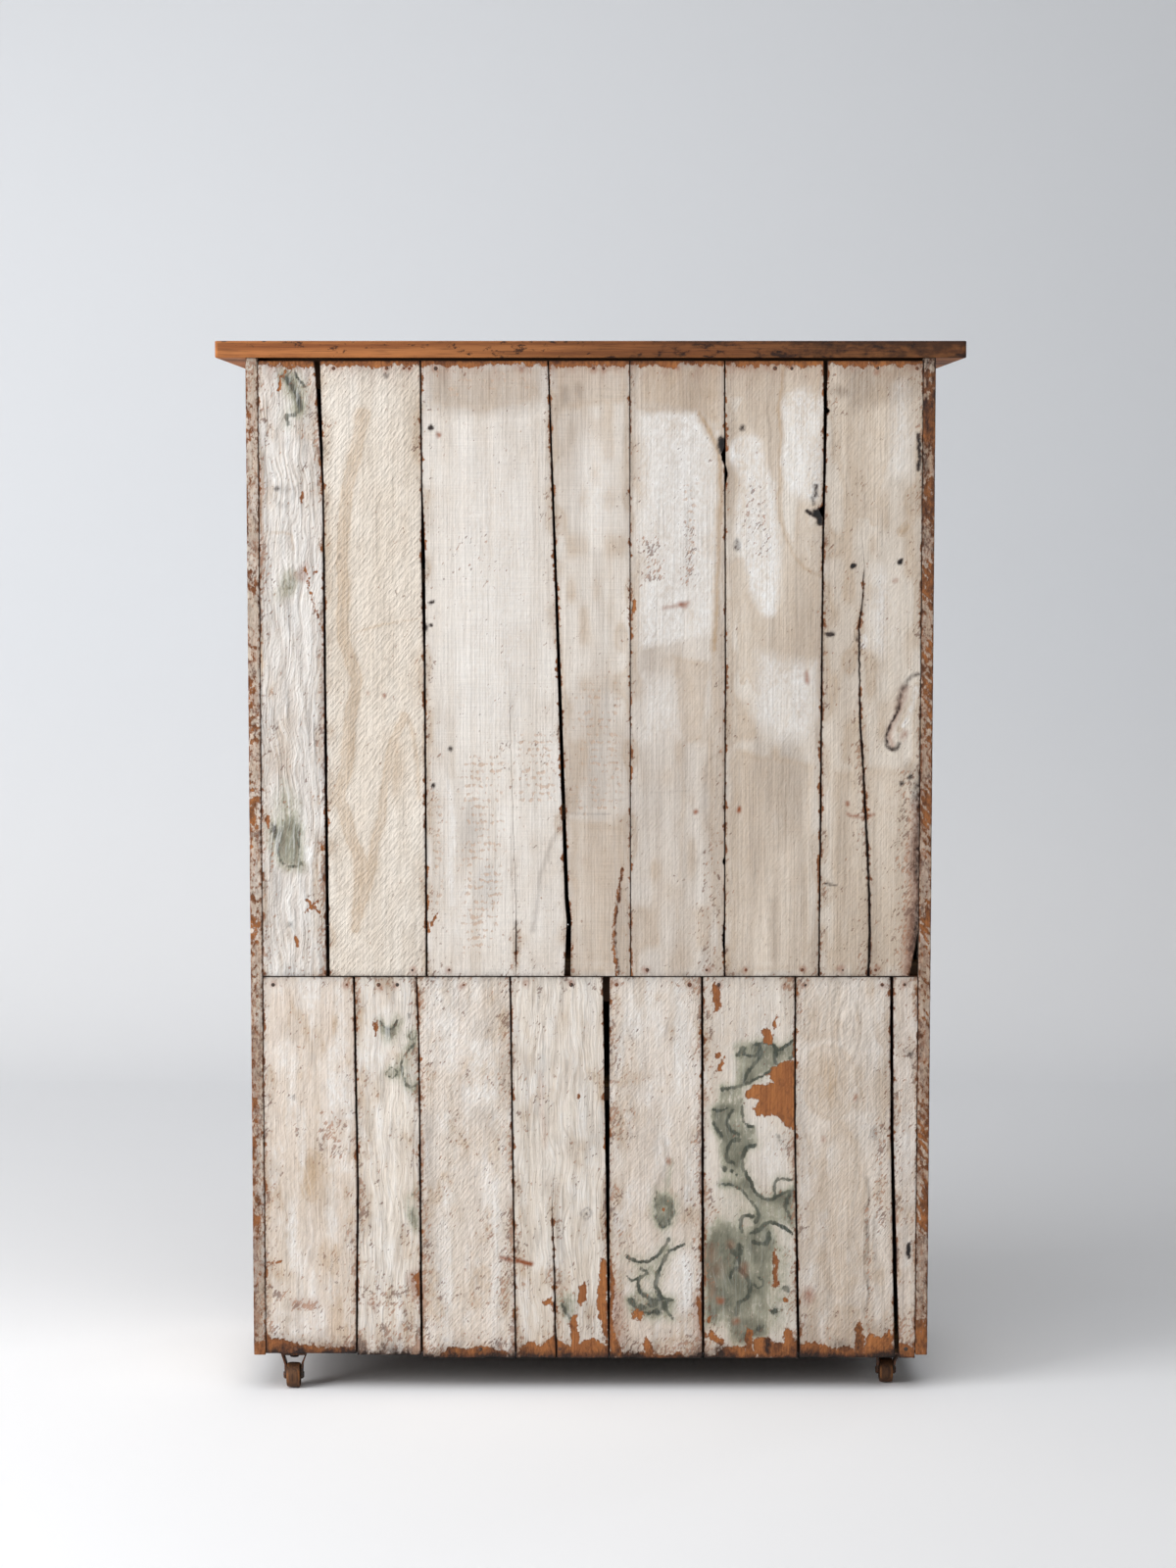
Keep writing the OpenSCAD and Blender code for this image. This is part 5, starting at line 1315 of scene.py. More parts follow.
            (4.5, (632, 386), (626, 379), (625, 367), (631, 357), (640, 352)),
            (4.5, (607, 370), (612, 360), (618, 352)), (4, (645, 394), (646, 378), (652, 364), (660, 362)),
            (5, (643, 346), (634, 345), (626, 337), (624, 326), (628, 318), (634, 317)), (5, (662, 341),
            (652, 338), (646, 328), (647, 312), (651, 300), (658, 290), (668, 276), (684, 266), (694, 266),
            (704, 272), (716, 275)), (4.5, (694, 268), (693, 286), (699, 292), (714, 291)),
            (4.5, (712, 270), (707, 258), (708, 246), (714, 236)),
            (4.5, (620, 286), (634, 284), (648, 275), (660, 262), (668, 250), (669, 240), (664, 232)),
            (6, (646, 222), (645, 236), (654, 241), (662, 240)),
            (5, (660, 221), (672, 224), (680, 231), (692, 231), (702, 225), (714, 216)),
            (6.5, (663, 209), (672, 206), (680, 206), (683, 219)),
            (5.5, (626, 202), (632, 192), (640, 184), (642, 174)), (5.5, (631, 158), (633, 168), (644, 168),
            (654, 155), (655, 142), (650, 130), (641, 122), (638, 108)),
            (3.5, (668, 156), (674, 151), (673, 144), (666, 142), (660, 147))),
        *blots(L.BARE, (602, 97, 2.4, 5), (689, 503, 2.4, 4), (707, 127, 3, 2.6)),
        *patches(L.BARE, (1, 3, (604, 562), (609, 556), (614, 544), (614, 530), (610, 520), (606, 512),
            (607, 530), (603, 544)), (1, 3, (609, 464), (616, 466), (618, 460), (612, 459)),
            (1, 3, (612, 439), (617, 440), (620, 450), (624, 459), (619, 455), (614, 447)),
            (1, 3, (672, 480), (671, 492), (680, 497), (684, 490), (682, 478)), (1, 3, (719, 455), (706, 452),
            (694, 450), (684, 442), (679, 433), (686, 425), (676, 420), (662, 418), (653, 413), (652, 404),
            (662, 401), (672, 397), (664, 390), (661, 386), (670, 376), (690, 379), (703, 370), (716, 360),
            (719, 360)),
            (1, 3, (690, 196), (693, 180), (694, 152), (698, 143), (688, 143), (688, 160), (687, 180)),
            (1, 3, (652, 86), (660, 84), (661, 46), (651, 46)),
            (1, 3, (634, 62), (651, 60), (651, 46), (632, 46)), (1, 3, (664, 70), (680, 72), (690, 66),
            (702, 68), (705, 88), (712, 84), (716, 68), (722, 70), (722, 46), (662, 46)),
            (1, 3, (597, 78), (606, 82), (612, 75), (622, 70), (618, 64), (600, 72)),
            (1, 3, (618, 62), (636, 60), (636, 46), (604, 46))),
        *strokes(L.BARE, (1.6, 0.9, 3, (689, 506), (692, 516))),
        *blots(L.GREY, (628, 186, 18, 44, 0.6, 16)),
        *blots(L.GRIME, (681, 60, 4, 11, 1.3, 4), (616, 54, 9, 11, 1.1, 6), (655, 66, 4, 16, 0.4, 4)),
    )),
    BackBoard("lower", 7, 0.25, grain=0.3, brush=0.3, flecks=0.2, mottled=0.45, dingy=0.3, shaded=0.5,
              knots=(Knot((786, 500), 9, 36, 3.2, 0.9),), marks=(
        *blots(L.TAN, (765, 425, 28, 44, 1.1, 26), (780, 250, 40, 130, 0.6, 30)),
        *patches(L.FLECK, (1, 5, (812, 270), (824, 270), (824, 50), (814, 50)),
            (1, 8, (821, 380), (846, 376), (846, 215), (826, 215))),
        *strokes(L.GREY, (4, 1.3, 3, (814, 290), (816, 262), (815, 246)),
            (4, 1.9, 3, (816, 236), (817, 205), (815, 178)), (4, 1.6, 3, (815, 165), (816, 140), (814, 108)),
            (3, 0.9, 3, (826, 240), (827, 150), (825, 70))),
        *strokes(L.LINE, (1.8, 0.7, 2, (816, 268), (815, 252)), (1.8, 0.7, 2, (816, 226), (817, 208)),
            (1.8, 0.7, 2, (815, 158), (816, 132))),
        *blots(L.GREY, (824, 357, 5, 10, 1.2, 5), (832, 88, 20, 9, 0.8, 7), (736, 80, 14, 20, 0.6, 8)),
        *blots(L.RUST, (800, 405, 2, 3, 0.8), (753, 346, 3, 3, 0.6), (738, 130, 8, 10, 0.7, 6)),
        *patches(L.BARE, (1, 3, (801, 88), (808, 97), (811, 76), (813, 46), (800, 46)),
            (1, 3, (812, 46), (813, 70), (822, 80), (836, 74), (850, 84), (854, 40)),
            (1, 3, (721, 60), (736, 67), (758, 63), (774, 56), (788, 62), (801, 58), (801, 40), (721, 40))),
        *blots(L.GRIME, (805, 72, 4, 20, 0.8, 5), (782, 62, 14, 9, 0.6, 7)),
    )),
    BackBoard("lower", 8, 0.45, grain=0.35, brush=0.22, flecks=0.32, mottled=0.7, marks=(
        *blots(L.GRIME, (872, 194, 2.6, 11, 2.2, 2), (870, 465, 5, 4, 0.95, 4)),
        *strokes(L.GREY, (5, 0.5, 5, (862, 300), (866, 180), (863, 80)),
            (4, 0.6, 4, (868, 420), (866, 330), (870, 250))),
        *patches(L.BARE, (1, 3, (856, 82), (864, 70), (882, 62), (882, 40), (856, 40))),
    )),
)

NAIL_PLACES = (
    *((across, 1380) for across in (101, 171, 194, 201, 236, 350, 445, 458, 555, 685, 707, 821, 873)),
    *((across, 577) for across in (201, 251, 517, 597, 650, 725, 780, 824)),
    *((across, 557) for across in (14, 113, 156, 181, 270, 354, 415, 476, 574, 613, 702, 729, 833, 863)),
    *((across, 58) for across in (41, 291, 399, 869)),
)


@dataclass
class Fasteners:
    """Heads of nails, put in their places by a Geometry Nodes tree, in metres."""

    name: str
    radius: float
    height: float
    seed: int = 7
    sides: int = 12

    def head(self) -> bpy.types.Object:
        """Returns one head, which stands on the level of its piece and points along Z."""
        shape = bmesh.new()
        rings = ((1.0, -0.3), (1.0, 0.35), (0.82, 0.8), (0.4, 1.0))
        rows = []
        for radius, level in rings:
            turns = [math.tau * i / self.sides for i in range(self.sides)]
            wide, high = self.radius * radius, self.height * level
            rows.append([shape.verts.new((wide * math.cos(a), wide * math.sin(a), high)) for a in turns])
        for low, high in zip(rows, rows[1:]):
            for i in range(self.sides):
                j = (i + 1) % self.sides
                shape.faces.new((low[i], low[j], high[j], high[i]))
        shape.faces.new(rows[-1])
        shape.faces.new(rows[0][::-1])
        mesh = bpy.data.meshes.new(f"{self.name}_head")
        shape.to_mesh(mesh)
        shape.free()
        return linked(mesh.name, mesh)

    def tree(self, head: bpy.types.Object, material: bpy.types.Material) -> bpy.types.GeometryNodeTree:
        """Builds the tree that puts a head on each point, turned to face as the point says."""
        group = bpy.data.node_groups.new(self.name, "GeometryNodeTree")
        sockets = group.interface
        sockets.new_socket("Geometry", in_out="INPUT", socket_type="NodeSocketGeometry")
        for name, value in (("Smallest", 0.85), ("Largest", 1.15)):
            sockets.new_socket(name, in_out="INPUT", socket_type="NodeSocketFloat").default_value = value
        sockets.new_socket("Seed", in_out="INPUT", socket_type="NodeSocketInt").default_value = self.seed
        sockets.new_socket("Geometry", in_out="OUTPUT", socket_type="NodeSocketGeometry")

        t = Tree(group)
        given = t.node("NodeGroupInput").outputs
        facing = t.node("GeometryNodeInputNamedAttribute", {"data_type": "FLOAT_VECTOR"}, {"Name": "facing"})
        aim = t.node("FunctionNodeAlignRotationToVector", {"axis": "Z"}, {"Vector": facing.outputs[0]})
        random = {"data_type": "FLOAT"}
        turn = t.node("FunctionNodeRandomValue", random, {3: math.tau, "Seed": given["Seed"]})
        spin = t.node("FunctionNodeAxisAngleToRotation", None, {"Axis": (0, 0, 1), "Angle": turn.outputs[1]})
        ways = {0: aim.outputs[0], 1: spin.outputs[0]}
        both = t.node("FunctionNodeRotateRotation", {"rotation_space": "LOCAL"}, ways)
        heads = t.node("GeometryNodeObjectInfo", None, {"Object": head})
        limits = {2: given["Smallest"], 3: given["Largest"], "Seed": given["Seed"]}
        size = t.node("FunctionNodeRandomValue", random, limits).outputs[1]
        inputs = {
            "Points": given["Geometry"],
            "Instance": heads.outputs["Geometry"],
            "Rotation": both.outputs[0],
            "Scale": t.vector(size, size, size),
        }
        put = t.node("GeometryNodeInstanceOnPoints", None, inputs)
        real = t.node("GeometryNodeRealizeInstances", None, {0: put.outputs[0]})
        dress = t.node("GeometryNodeSetMaterial", None, {0: real.outputs[0], "Material": material})
        t.node("NodeGroupOutput", None, {0: dress.outputs[0]})
        return group

    def place(
        self, name: str, places: Sequence[Place3], facing: Place3, body: str, slot: str, finishes: Finishes
    ) -> None:
        """Makes one mesh of all heads on a body.

        Args:
            name: Name of the piece.
            places: Middle of each head's foot.
            facing: Direction that the heads point in.
            body: Body that the heads ride on.
            slot: Material slot of the heads.
            finishes: The cupboard's finishes.
        """
        carrier_mesh = bpy.data.meshes.new(f"{name}_places")
        carrier_mesh.from_pydata(places, [], [])
        put_vectors(carrier_mesh, "facing", np.tile(facing, (len(places), 1)))
        carrier = linked(carrier_mesh.name, carrier_mesh)
        head = self.head()
        modifier = carrier.modifiers.new("heads", "NODES")
        modifier.node_group = self.tree(head, finishes.made[slot])
        mesh = settled_mesh(carrier, modifier)
        bpy.data.objects.remove(head)
        if "facing" in mesh.attributes:
            mesh.attributes.remove(mesh.attributes["facing"])
        smooth_between_arrises(mesh, HEAD_TURN)
        made = linked(name, mesh)
        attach(made, body)
        log.info("%s: %d heads", name, len(places))


@dataclass
class RearEdge:
    """The rear edge of a board, cut fine so that it can be dented, chipped and stained, in metres."""

    along: int
    across: int
    outward: float = 1.0
    pitch: float = 0.003
    reach: float = 0.014
    least_round: float = 0.0008
    most_round: float = 0.0026
    dents: float = 0.35
    dented: float = 0.003
    column: float = 0.0025
    last_cut: float = 0.008
    fine: Sequence[float] = (0.0006, 0.0014, 0.0026, 0.0045)

    def cut(self, shape: bmesh.types.BMesh, axis: int, places: Array, rear: float) -> None:
        """Cuts the part within reach of the rear along planes across one axis."""
        for place in places:
            faces = [face for face in shape.faces if face.calc_center_median().y > rear - self.reach]
            near = {*faces}
            for face in faces:
                near.update(face.edges, face.verts)
            point, normal = [0.0, 0.0, 0.0], [0.0, 0.0, 0.0]
            point[axis], normal[axis] = place, 1.0
            bmesh.ops.bisect_plane(shape, geom=list(near), plane_co=point, plane_no=normal, dist=1e-6)

    def worn_share(self, run: Array, share: Array, depth: Array, noise: Unevenness) -> Array:
        """Returns the vectors of wear at each point.

        Args:
            run: Place along the edge in metres.
            share: Place across the edge, 0 to 1.
            depth: Distance in from the rear in metres.
            noise: Noise of this edge.

        Returns:
            Shares of bare wood, flecks and grime.
        """
        raise NotImplementedError

    def stain(self, run: Array, share: Array, depth: Array, noise: Unevenness) -> Array:
        """Returns the stains at each point, from the same arguments."""
        return np.zeros((len(run), 3))

    def wear(self, piece: bpy.types.Object) -> None:
        """Cuts, rounds, dents and stains the rear edge of a piece."""
        places = points_of(piece.data)
        low, high = places.min(0), places.max(0)
        rear = high[1]
        shape = bmesh.new()
        shape.from_mesh(piece.data)
        slice_across(shape, rear - self.reach, 1e-6)
        fine = np.array(self.fine)
        width = high[self.across] - low[self.across]
        count = max(3, round((width - 2 * fine[-1]) / self.column))
        middle = np.linspace(fine[-1], width - fine[-1], count)
        self.cut(shape, 1, rear - np.array([*fine, self.last_cut]), rear)
        columns = np.concatenate([fine[:-1], middle, width - fine[:-1]])
        self.cut(shape, self.across, low[self.across] + columns, rear)
        self.cut_rows(shape, high[self.along] - low[self.along], rear)
        shape.to_mesh(piece.data)
        shape.free()
        places = points_of(piece.data)
        noise = Unevenness(90 + self.along)
        run = places[:, self.along]
        round_off = noise(run / 0.011 + 400, 0) * 0.6 + noise(run / 0.004 + 500, 5) * 0.4
        radius = self.least_round + (self.most_round - self.least_round) * round_off**2 * 1.6
        near_side = places[:, self.across] < (low[self.across] + high[self.across]) / 2
        side = places[:, self.across]
        aside = np.where(near_side, side - low[self.across], high[self.across] - side)
        depth = rear - places[:, 1]
        gap_depth, gap_side = np.clip(radius - depth, 0, None), np.clip(radius - aside, 0, None)
        length = np.hypot(gap_depth, gap_side)
        round_here = (length > radius) & (gap_depth > 0) & (gap_side > 0)
        pull = np.where(round_here, radius / np.maximum(length, 1e-9), 1.0)
        places[:, 1] = rear - (radius - gap_depth * pull) * (gap_depth > 0) - depth * (gap_depth <= 0)
        new_aside = np.where(gap_side > 0, radius - gap_side * pull, aside)
        places[:, self.across] += np.where(near_side, 1, -1) * (new_aside - aside)
        dent = self.dents * 0.001 * noise(run / 0.006 + 40, places[:, self.across] / 0.004 + 300)
        places[:, 1] -= dent * (depth < self.dented)
        piece.data.vertices.foreach_set("co", places.ravel())
        share = (places[:, self.across] - low[self.across]) / width
        put_vectors(piece.data, "wear", self.worn_share(run, share, depth, noise))
        put_vectors(piece.data, "stain", self.stain(run, share, depth, noise))
        piece.data.update()
        smooth_between_arrises(piece.data, WORN_TURN)

    def cut_rows(self, shape: bmesh.types.BMesh, length: float, rear: float) -> None:
        """Cuts the edge into short rows, by subdividing each mesh edge that runs its whole length."""
        near = [face for face in shape.faces if face.calc_center_median().y > rear - self.reach]
        edges = {edge for face in near for edge in face.edges if self.runs_along(edge, 0.9 * length)}
        bmesh.ops.subdivide_edges(shape, edges=list(edges), cuts=int(length / self.pitch), use_grid_fill=True)

    def runs_along(self, edge: bmesh.types.BMEdge, length: float) -> bool:
        """Tells whether an edge runs the length of the board."""
        a, b = (vert.co for vert in edge.verts)
        return abs(a[self.along] - b[self.along]) > length


class SideEdge(RearEdge):
    """Painted rear edge of a side board, worn brown on its outer side with chips like a rope's turns."""

    def worn_share(self, run: Array, share: Array, depth: Array, noise: Unevenness) -> Array:
        """Returns losses that slant across the edge and dirt beside the boards."""
        right = self.outward > 0
        outer = share if right else 1 - share
        slope, rope, patches, foot = (0.45, 0.26, 0.9, 0.07) if right else (1.5, 0.33, 1.5, 0.10)
        roped_end, roped_fade, roped_start = (0.99, 0.06, 0.5) if right else (1.25, 0.1, 0.08)
        drift = 0.9 * noise(run / 0.06, 0) + 0.7 * noise(run / 0.017 + 5, 40)
        turns = np.cos(math.tau * (run / 0.0135 + outer * slope + drift))
        patchy = noise(run / 0.05 + 7, 2)
        fine = noise(run / 0.007 + 17, share * 3 + 12)
        roped = np.clip((roped_end - run) / roped_fade, 0, 1) * np.clip((run - roped_start) / 0.1, 0, 1)
        brown = 0.55 * (outer - 0.5) + rope * turns * roped + patches * (patchy - 0.5) + 0.9 * (fine - 0.5)
        pale = 0.42 + 0.22 * np.clip((run - 0.93) / 0.1, 0, 1) - 0.12 * roped
        crown = np.clip((run - 1.05) / 0.25, 0, 1) * (not right)
        brown -= pale if right else 0.24 - 0.5 * crown
        brown = np.where(run < foot, np.maximum(brown, (foot - run) / 0.04), brown)
        fade = np.clip((0.010 - depth) / 0.004, 0, 1)
        wear = np.zeros((len(run), 3))
        wear[:, 0] = np.clip(0.5 + brown * 0.7, 0, 1) * fade
        wear[:, 1] = (0.7 + 0.6 * noise(run / 0.02, share * 2 + 31)) * fade + 0.4 * (1 - fade)
        inner = np.exp(-(1 - outer) / 0.12) + np.exp(-outer / 0.12)
        soiled = 0.05 * (not right) + 0.28 * crown
        dirt = (0.42 + soiled) * noise(run / 0.010 + 60, share * 4 + 3) + 0.25 * inner + 0.5 * soiled
        wear[:, 2] = dirt * fade
        return wear

    def stain(self, run: Array, share: Array, depth: Array, noise: Unevenness) -> Array:
        """Returns the tan and the rust brown that darken the paint."""
        fade = np.clip((0.010 - depth) / 0.004, 0, 1)
        stain = np.zeros((len(run), 3))
        right = self.outward > 0
        outer = share if right else 1 - share
        more = -0.12 if right else 0.18
        low = np.clip((0.62 - run) / 0.2, 0, 1) if right else 0.0
        stain[:, 0] = (0.25 + more + 0.5 * noise(run / 0.03 + 3, share * 2)) * fade
        rust = more * 0.6 + 0.4 * noise(run / 0.012 + 8, share * 3 + 4) + 0.6 * low * (outer - 0.4)
        stain[:, 1] = rust * fade
        stain[:, 2] = (0.25 * noise(run / 0.02 + 81, share * 3 + 7) + 0.45 * low) * fade
        return stain


class TopEdge(RearEdge):
    """Rear edge of the top board, clean at one end and black with wear at the other."""

    def worn_share(self, run: Array, share: Array, depth: Array, noise: Unevenness) -> Array:
        """Returns dirt that grows towards the left end and along the upper arris."""
        left = np.clip(0.5 - run / 0.6, 0, 1)
        arris = np.exp(-(1 - share) / 0.16)
        wear = np.zeros((len(run), 3))
        dirt = 0.05 + 0.80 * left + 0.24 * arris * (0.3 + left) + 0.26 * (noise(run / 0.05, share * 2) - 0.5)
        wear[:, 2] = np.clip(dirt, 0, 1) * np.clip((0.012 - depth) / 0.005, 0, 1)
        return wear


@dataclass
class Joinery:
    """Copies of the CAD pieces with eased arrises and coordinates for their grain, in metres."""

    finishes: Finishes
    iron_arris: float = 0.0003
    wood_arris: float = 0.0011
    # Depths of the cuts, and of the band at the rear of a piece that gets painted shade where it shows
    # through the back's gaps
    gap_shade_cuts: Sequence[float] = (0.004, 0.012)
    soiled: float = 0.006
    side_edge: RearEdge = field(default_factory=lambda: SideEdge(along=2, across=0))
    top_edge: RearEdge = field(default_factory=lambda: TopEdge(along=0, across=2, most_round=0.0018))

    def loose_parts(self, mesh: bpy.types.Mesh) -> Array:
        """Returns the number of the separate solid that each point belongs to."""
        label = np.arange(len(mesh.vertices))
        ends = np.zeros(len(mesh.edges) * 2, int)
        mesh.edges.foreach_get("vertices", ends)
        a, b = ends.reshape(-1, 2).T
        while True:
            least = np.minimum(label[a], label[b])
            grown = label.copy()
            np.minimum.at(grown, a, least)
            np.minimum.at(grown, b, least)
            grown = grown[grown]
            if (grown == label).all():
                return label
            label = grown

    def grain_space(self, mesh: bpy.types.Mesh, seed: float) -> None:
        """Stores each solid's own coordinates, with its longest side along the grain."""
        places = points_of(mesh)
        label = self.loose_parts(mesh)
        wood, middle, half = (np.zeros_like(places) for _ in range(3))
        for number, solid in enumerate(np.unique(label)):
            chosen = label == solid
            low, high = places[chosen].min(0), places[chosen].max(0)
            longest, second, shortest = np.argsort(high - low)[::-1]
            order = [second, shortest, longest]
            start = np.array([seed + 2.3 * number, 0.0, 1.7 * number])
            wood[chosen] = places[chosen][:, order] + start
            middle[chosen] = ((low + high) / 2)[order] + start
            half[chosen] = ((high - low) / 2)[order]
        for name, values in (("wood", wood), ("middle", middle), ("half", half)):
            put_vectors(mesh, name, values)

    def eased(self, node: str, arris: float, slot: str, seed: float) -> bpy.types.Object:
        """Makes the piece that stands for a CAD node, with its arrises eased.

        Args:
            node: Name of the CAD node.
            arris: Width of the eased arrises.
            slot: Material slot.
            seed: Place of the piece in the wood's pattern.

        Returns:
            The piece, which rides where the node does.
        """
        source = frame["nodes"][node]
        shape = bmesh.new()
        shape.from_mesh(source.data)
        bmesh.ops.remove_doubles(shape, verts=shape.verts, dist=1e-6)
        bmesh.ops.dissolve_limit(shape, angle_limit=math.radians(1), verts=shape.verts, edges=shape.edges)
        mesh = bpy.data.meshes.new(f"{node}_eased")
        shape.to_mesh(mesh)
        shape.free()
        rough = linked(f"{node}_rough", mesh)
        ease = rough.modifiers.new("ease", "BEVEL")
        ease.width = arris
        ease.segments = 2
        ease.limit_method = "ANGLE"
        ease.angle_limit = math.radians(EASED_TURN)
        final = settled_mesh(rough, ease)
        smooth_between_arrises(final, EASED_TURN)
        self.grain_space(final, seed)
        piece = linked(f"{node}_eased", final)
        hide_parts(node)
        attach(piece, source["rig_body"])
        self.finishes.dress(piece, slot)
        return piece

    def paint_gap_shade(self, piece: bpy.types.Object, share: float, beneath: bool) -> None:
        """Paints shade, as a dark mark, on the side of a piece that faces the boards' gaps, and on the one
        beneath if told to.
        """
        rear = points_of(piece.data)[:, 1].max()
        shape = bmesh.new()
        shape.from_mesh(piece.data)
        for depth in self.gap_shade_cuts:
            slice_across(shape, rear - depth, 1e-7)
        shape.to_mesh(piece.data)
        shape.free()
        places = points_of(piece.data)
        wear = np.zeros_like(places)
        under = places[:, 2] < places[:, 2].min() + 0.0003
        gap_shaded = (places[:, 1] > rear - self.soiled) | (beneath & under)
        wear[:, 2] = share * gap_shaded
        put_vectors(piece.data, "wear", wear)

    def age(self, piece: bpy.types.Object) -> None:
        """Gives the paint of a piece its brush marks, fine grain and small losses all over."""
        mesh = piece.data
        everywhere = {
            "board": (0.0, 0.1, 0.5),
            "relief": (0.32, 0.2, 0.1),
            "wear": (0.0, 0.4, 0.06),
            "stain": (0.12, 0.0, 0.05),
        }
        for name, values in everywhere.items():
            if name not in mesh.attributes:
                put_vectors(mesh, name, np.tile(values, (len(mesh.vertices), 1)))

    def build(self) -> None:
        """Eases every piece that no other class makes."""
        for number, row in enumerate(frame["record"]["subparts"]):
            node, slot = row["node"], row["material_slot"]
            if "back_board" in node:
                continue
            arris = self.iron_arris if slot == "dark_iron" else self.wood_arris
            piece = self.eased(node, arris, slot, 10.0 + number * 0.77)
            if node == "top_board":
                self.top_edge.wear(piece)
            elif node in ("left_side_board", "right_side_board"):
                self.side_edge.outward = 1.0 if node.startswith("right") else -1.0
                self.side_edge.wear(piece)
            # Rails and shelves seen through the back's gaps get painted shade, the back rails darkest; the
            # floor board also gets painted shade beneath the case
            elif node in ("back_rails", "middle_shelf", "floor_board", "upper_shelves", "lower_shelf"):
                self.paint_gap_shade(piece, 1.6 if node == "back_rails" else 1.0, node == "floor_board")
            if slot == "aged_paint":
                self.age(piece)
        log.info("eased the arrises of the case, doors and ironwork")


@dataclass(frozen=True)
class Lamp:
    """A soft lamp of a width and a height that points at a target, in metres, watts and degrees."""

    name: str
    at: Place3
    target: Place3
    size: Place
    power: float
    colour: Colour = (0.97, 0.985, 1.0)
    spread: float = 180.0

    def hang(self) -> None:
        """Makes the lamp and turns it to its target."""
        light = bpy.data.lights.new(self.name, "AREA")
        light.shape = "RECTANGLE"
        light.size, light.size_y = self.size
        light.energy = self.power
        light.color = self.colour
        light.spread = math.radians(self.spread)
        piece = linked(self.name, light)
        piece.location = self.at
        piece.rotation_euler = (Vector(self.target) - Vector(self.at)).to_track_quat("-Z", "Y").to_euler()


LAMPS = (
    Lamp("window", (3.5, 2.1, 1.75), (0, 0, 0.75), (2.4, 2.2), 145, (0.99, 0.985, 0.985)),
    Lamp("overhead", (0.2, 2.2, 4.4), (0, 0.8, 0), (5.0, 4.0), 136),
    Lamp("front", (-2.2, -2.2, 1.25), (0, -0.19, 1.1), (0.9, 0.6), 3, spread=50),
    Lamp("far_window", (3.7, -1.3, 1.7), (-0.6, -3.1, 1.0), (1.6, 2.2), 8, spread=100),
)


@dataclass(frozen=True)
class Studio:
    """Pale floor and wall, soft daylight and the camera, in metres and degrees."""

    camera_at: Place3 = (0.0035, 4.656, 1.211)
    camera_down: float = 4.93
    lens: float = 76.5
    long_side: float = 36.0
    wall_y: float = -3.1
    wall_top: float = 6.0
    floor_y: float = 14.0
    half_width: float = 9.0
    cove: float = 0.9
    floor_colour: Colour = shade(247, 247, 248)
    wall_colour: Colour = shade(233, 235, 238)
    sky: Colour = (0.91, 0.95, 1.0)
    sky_strength: float = 0.07
    backdrop: Colour = shade(222, 227, 234)

    def surface(self, name: str, one_sided: bool) -> bpy.types.Material:
        """Makes a matt stage material, with the floor's colour low down and the wall's higher up.

        Args:
            name: Name of the material.
            one_sided: Whether it is clear from behind. It otherwise clears far out on the camera's side.

        Returns:
            The finished material.
        """
        t = Tree(bpy.data.materials.new(name))
        geometry = t.node("ShaderNodeNewGeometry")
        at = geometry.outputs["Position"]
        _, depth, height = t.parts(at)
        colour = t.blend(height.above(0.5, 0.5), self.floor_colour, self.wall_colour)
        mottle = t.noise(at, 1.4, 1.4, 3)
        tint = t.darken(1 - mottle.above(0.5, 0.3) * 0.01, colour)
        matt = t.node("ShaderNodeBsdfDiffuse", None, {"Color": tint}).outputs[0]
        hidden = geometry.outputs["Backfacing"] if one_sided else depth.above(5.6, 1.2)
        clear = t.node("ShaderNodeBsdfTransparent").outputs[0]
        both = t.node("ShaderNodeMixShader", None, {0: hidden, 1: matt, 2: clear})
        t.node("ShaderNodeOutputMaterial", None, {0: both.outputs[0]})
        return t.owner

    def sheet(self, name: str, profile: Sequence[Place], material: bpy.types.Material) -> None:
        """Lays a stage sheet along X through a profile of places along Y and Z."""
        points = [(x, y, z) for y, z in profile for x in (-self.half_width, self.half_width)]
        faces = [(2 * i + 2, 2 * i + 3, 2 * i + 1, 2 * i) for i in range(len(profile) - 1)]
        mesh = bpy.data.meshes.new(name)
        mesh.from_pydata(points, [], faces)
        mesh.materials.append(material)
        mesh.shade_smooth()
        piece = linked(name, mesh)

    def daylight(self) -> None:
        """Lights everything from the sky, and shows a paler one to the camera and in reflections."""
        t = Tree(bpy.data.worlds.new("daylight"))
        sky = t.node("ShaderNodeBackground", None, {"Color": self.sky, "Strength": self.sky_strength})
        seen = t.node("ShaderNodeBackground", None, {"Color": self.backdrop})
        rays = t.node("ShaderNodeLightPath").outputs
        shown = Value(t, rays["Is Camera Ray"])
        for kind in ("Is Glossy Ray", "Is Transmission Ray"):
            shown = shown.most(Value(t, rays[kind]))
        both = t.node("ShaderNodeMixShader", None, {0: shown, 1: sky.outputs[0], 2: seen.outputs[0]})
        t.node("ShaderNodeOutputWorld", None, {0: both.outputs[0]})
        bpy.context.scene.world = t.owner

    def build(self) -> None:
        """Sets up the camera, the stage and the light."""
        data = bpy.data.cameras.new("camera")
        data.lens = self.lens
        data.sensor_width = self.long_side
        camera = linked("camera", data)
        camera.location = self.camera_at
        camera.rotation_euler = (math.radians(90 - self.camera_down), 0, math.pi)
        bpy.context.scene.camera = camera

        turns = [math.radians(a) for a in range(0, 91, 6)]
        bend = [(self.wall_y + self.cove * (1 - math.sin(a)), self.cove * (1 - math.cos(a))) for a in turns]
        floor_end = self.wall_y + self.cove
        self.sheet("floor", [(self.floor_y, 0), (floor_end, 0)], self.surface("floor", False))
        self.sheet("wall", [*bend, (self.wall_y, self.wall_top)], self.surface("wall", True))

        self.daylight()
        for lamp in LAMPS:
            lamp.hang()
        bpy.context.scene.view_settings.view_transform = "Standard"
        log.info("set up the studio")


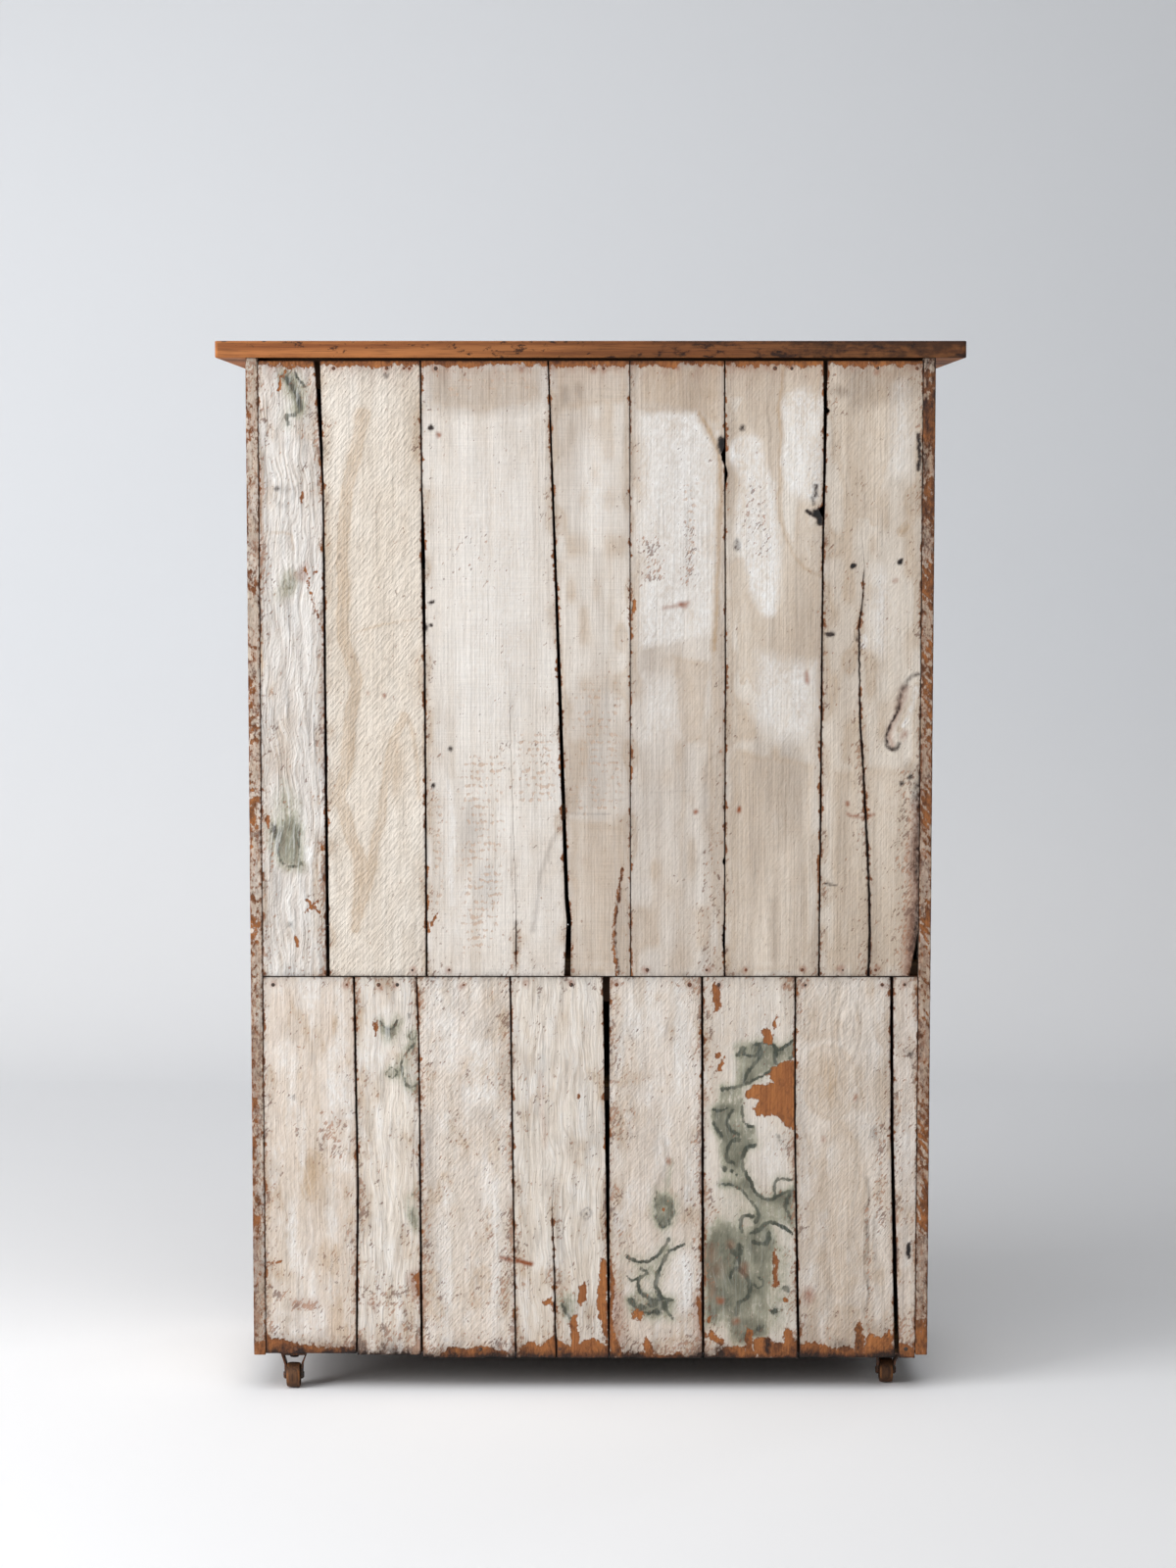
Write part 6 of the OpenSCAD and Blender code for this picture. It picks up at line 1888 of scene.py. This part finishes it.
@dataclass
class DoorStops:
    """Thin laths inside the frame that keep daylight from the gaps round the doors, in millimetres."""

    front: float = -169.7
    rear: float = -166.7
    bottoms_and_tops: Sequence[Place] = ((94, 394), (418, 514), (590, 776), (800, 1093), (1117, 1329))
    gap: Place = (29.0, 38.0)
    reach: float = 396.0
    level: Place = (1330, 1338)

    def boxes(self) -> list[tuple[Place3, Place3]]:
        """Returns the low and high corner of each upright lath and of the level one."""
        made = []
        for side in (-1, 1):
            a, b = sorted((side * self.gap[0], side * self.gap[1]))
            made += [((a, self.front, low), (b, self.rear, high)) for low, high in self.bottoms_and_tops]
        low, high = self.level
        return [*made, ((-self.reach, self.front, low), (self.reach, self.rear, high))]

    def build(self, joinery: Joinery) -> None:
        """Makes the laths as one piece that rides on the case."""
        shape = bmesh.new()
        for low, high in self.boxes():
            size = Vector(high) - Vector(low)
            middle = Matrix.Translation((Vector(high) + Vector(low)) * 0.5 * MM)
            place = middle @ Matrix.Diagonal((*size * MM, 1.0))
            bmesh.ops.create_cube(shape, size=1.0, matrix=place)
        mesh = bpy.data.meshes.new("door_stops")
        shape.to_mesh(mesh)
        shape.free()
        joinery.grain_space(mesh, 70.0)
        piece = linked("door_stops", mesh)
        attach(piece, "case")
        joinery.finishes.dress(piece, "bare_pine")
        log.info("door_stops: %d laths", len(self.boxes()))


def build_nails(finishes: Finishes) -> None:
    """Drives the nails of the back boards, sunk into the paint."""
    low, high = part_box("right_side_board")
    sunk = 0.0012
    places = [(low.x - across * MM, high.y - sunk, over * MM) for across, over in NAIL_PLACES]
    nails = Fasteners("nail", 2.9 * MM, 0.9 * MM)
    nails.place("back_board_nails", places, (0, 1, 0), "case", "dark_iron", finishes)


def build_boards(finishes: Finishes) -> None:
    """Makes the boards of the back, with the stains of their nails."""
    for board in (*UPPER_BOARDS, *LOWER_BOARDS):
        stains = blots(L.RUST, *((*place, 4.5, 4.5, 0.6, 3) for place in NAIL_PLACES))
        board.marks = (*board.marks, *stains)
        board.build(finishes)


def main() -> None:
    """Builds the cupboard's looks in order."""
    logging.basicConfig(level=logging.INFO, format="%(message)s")
    finishes = Finishes()
    build_boards(finishes)
    build_nails(finishes)
    joinery = Joinery(finishes)
    joinery.build()
    DoorStops().build(joinery)
    Studio().build()


if __name__ == "__main__":
    main()
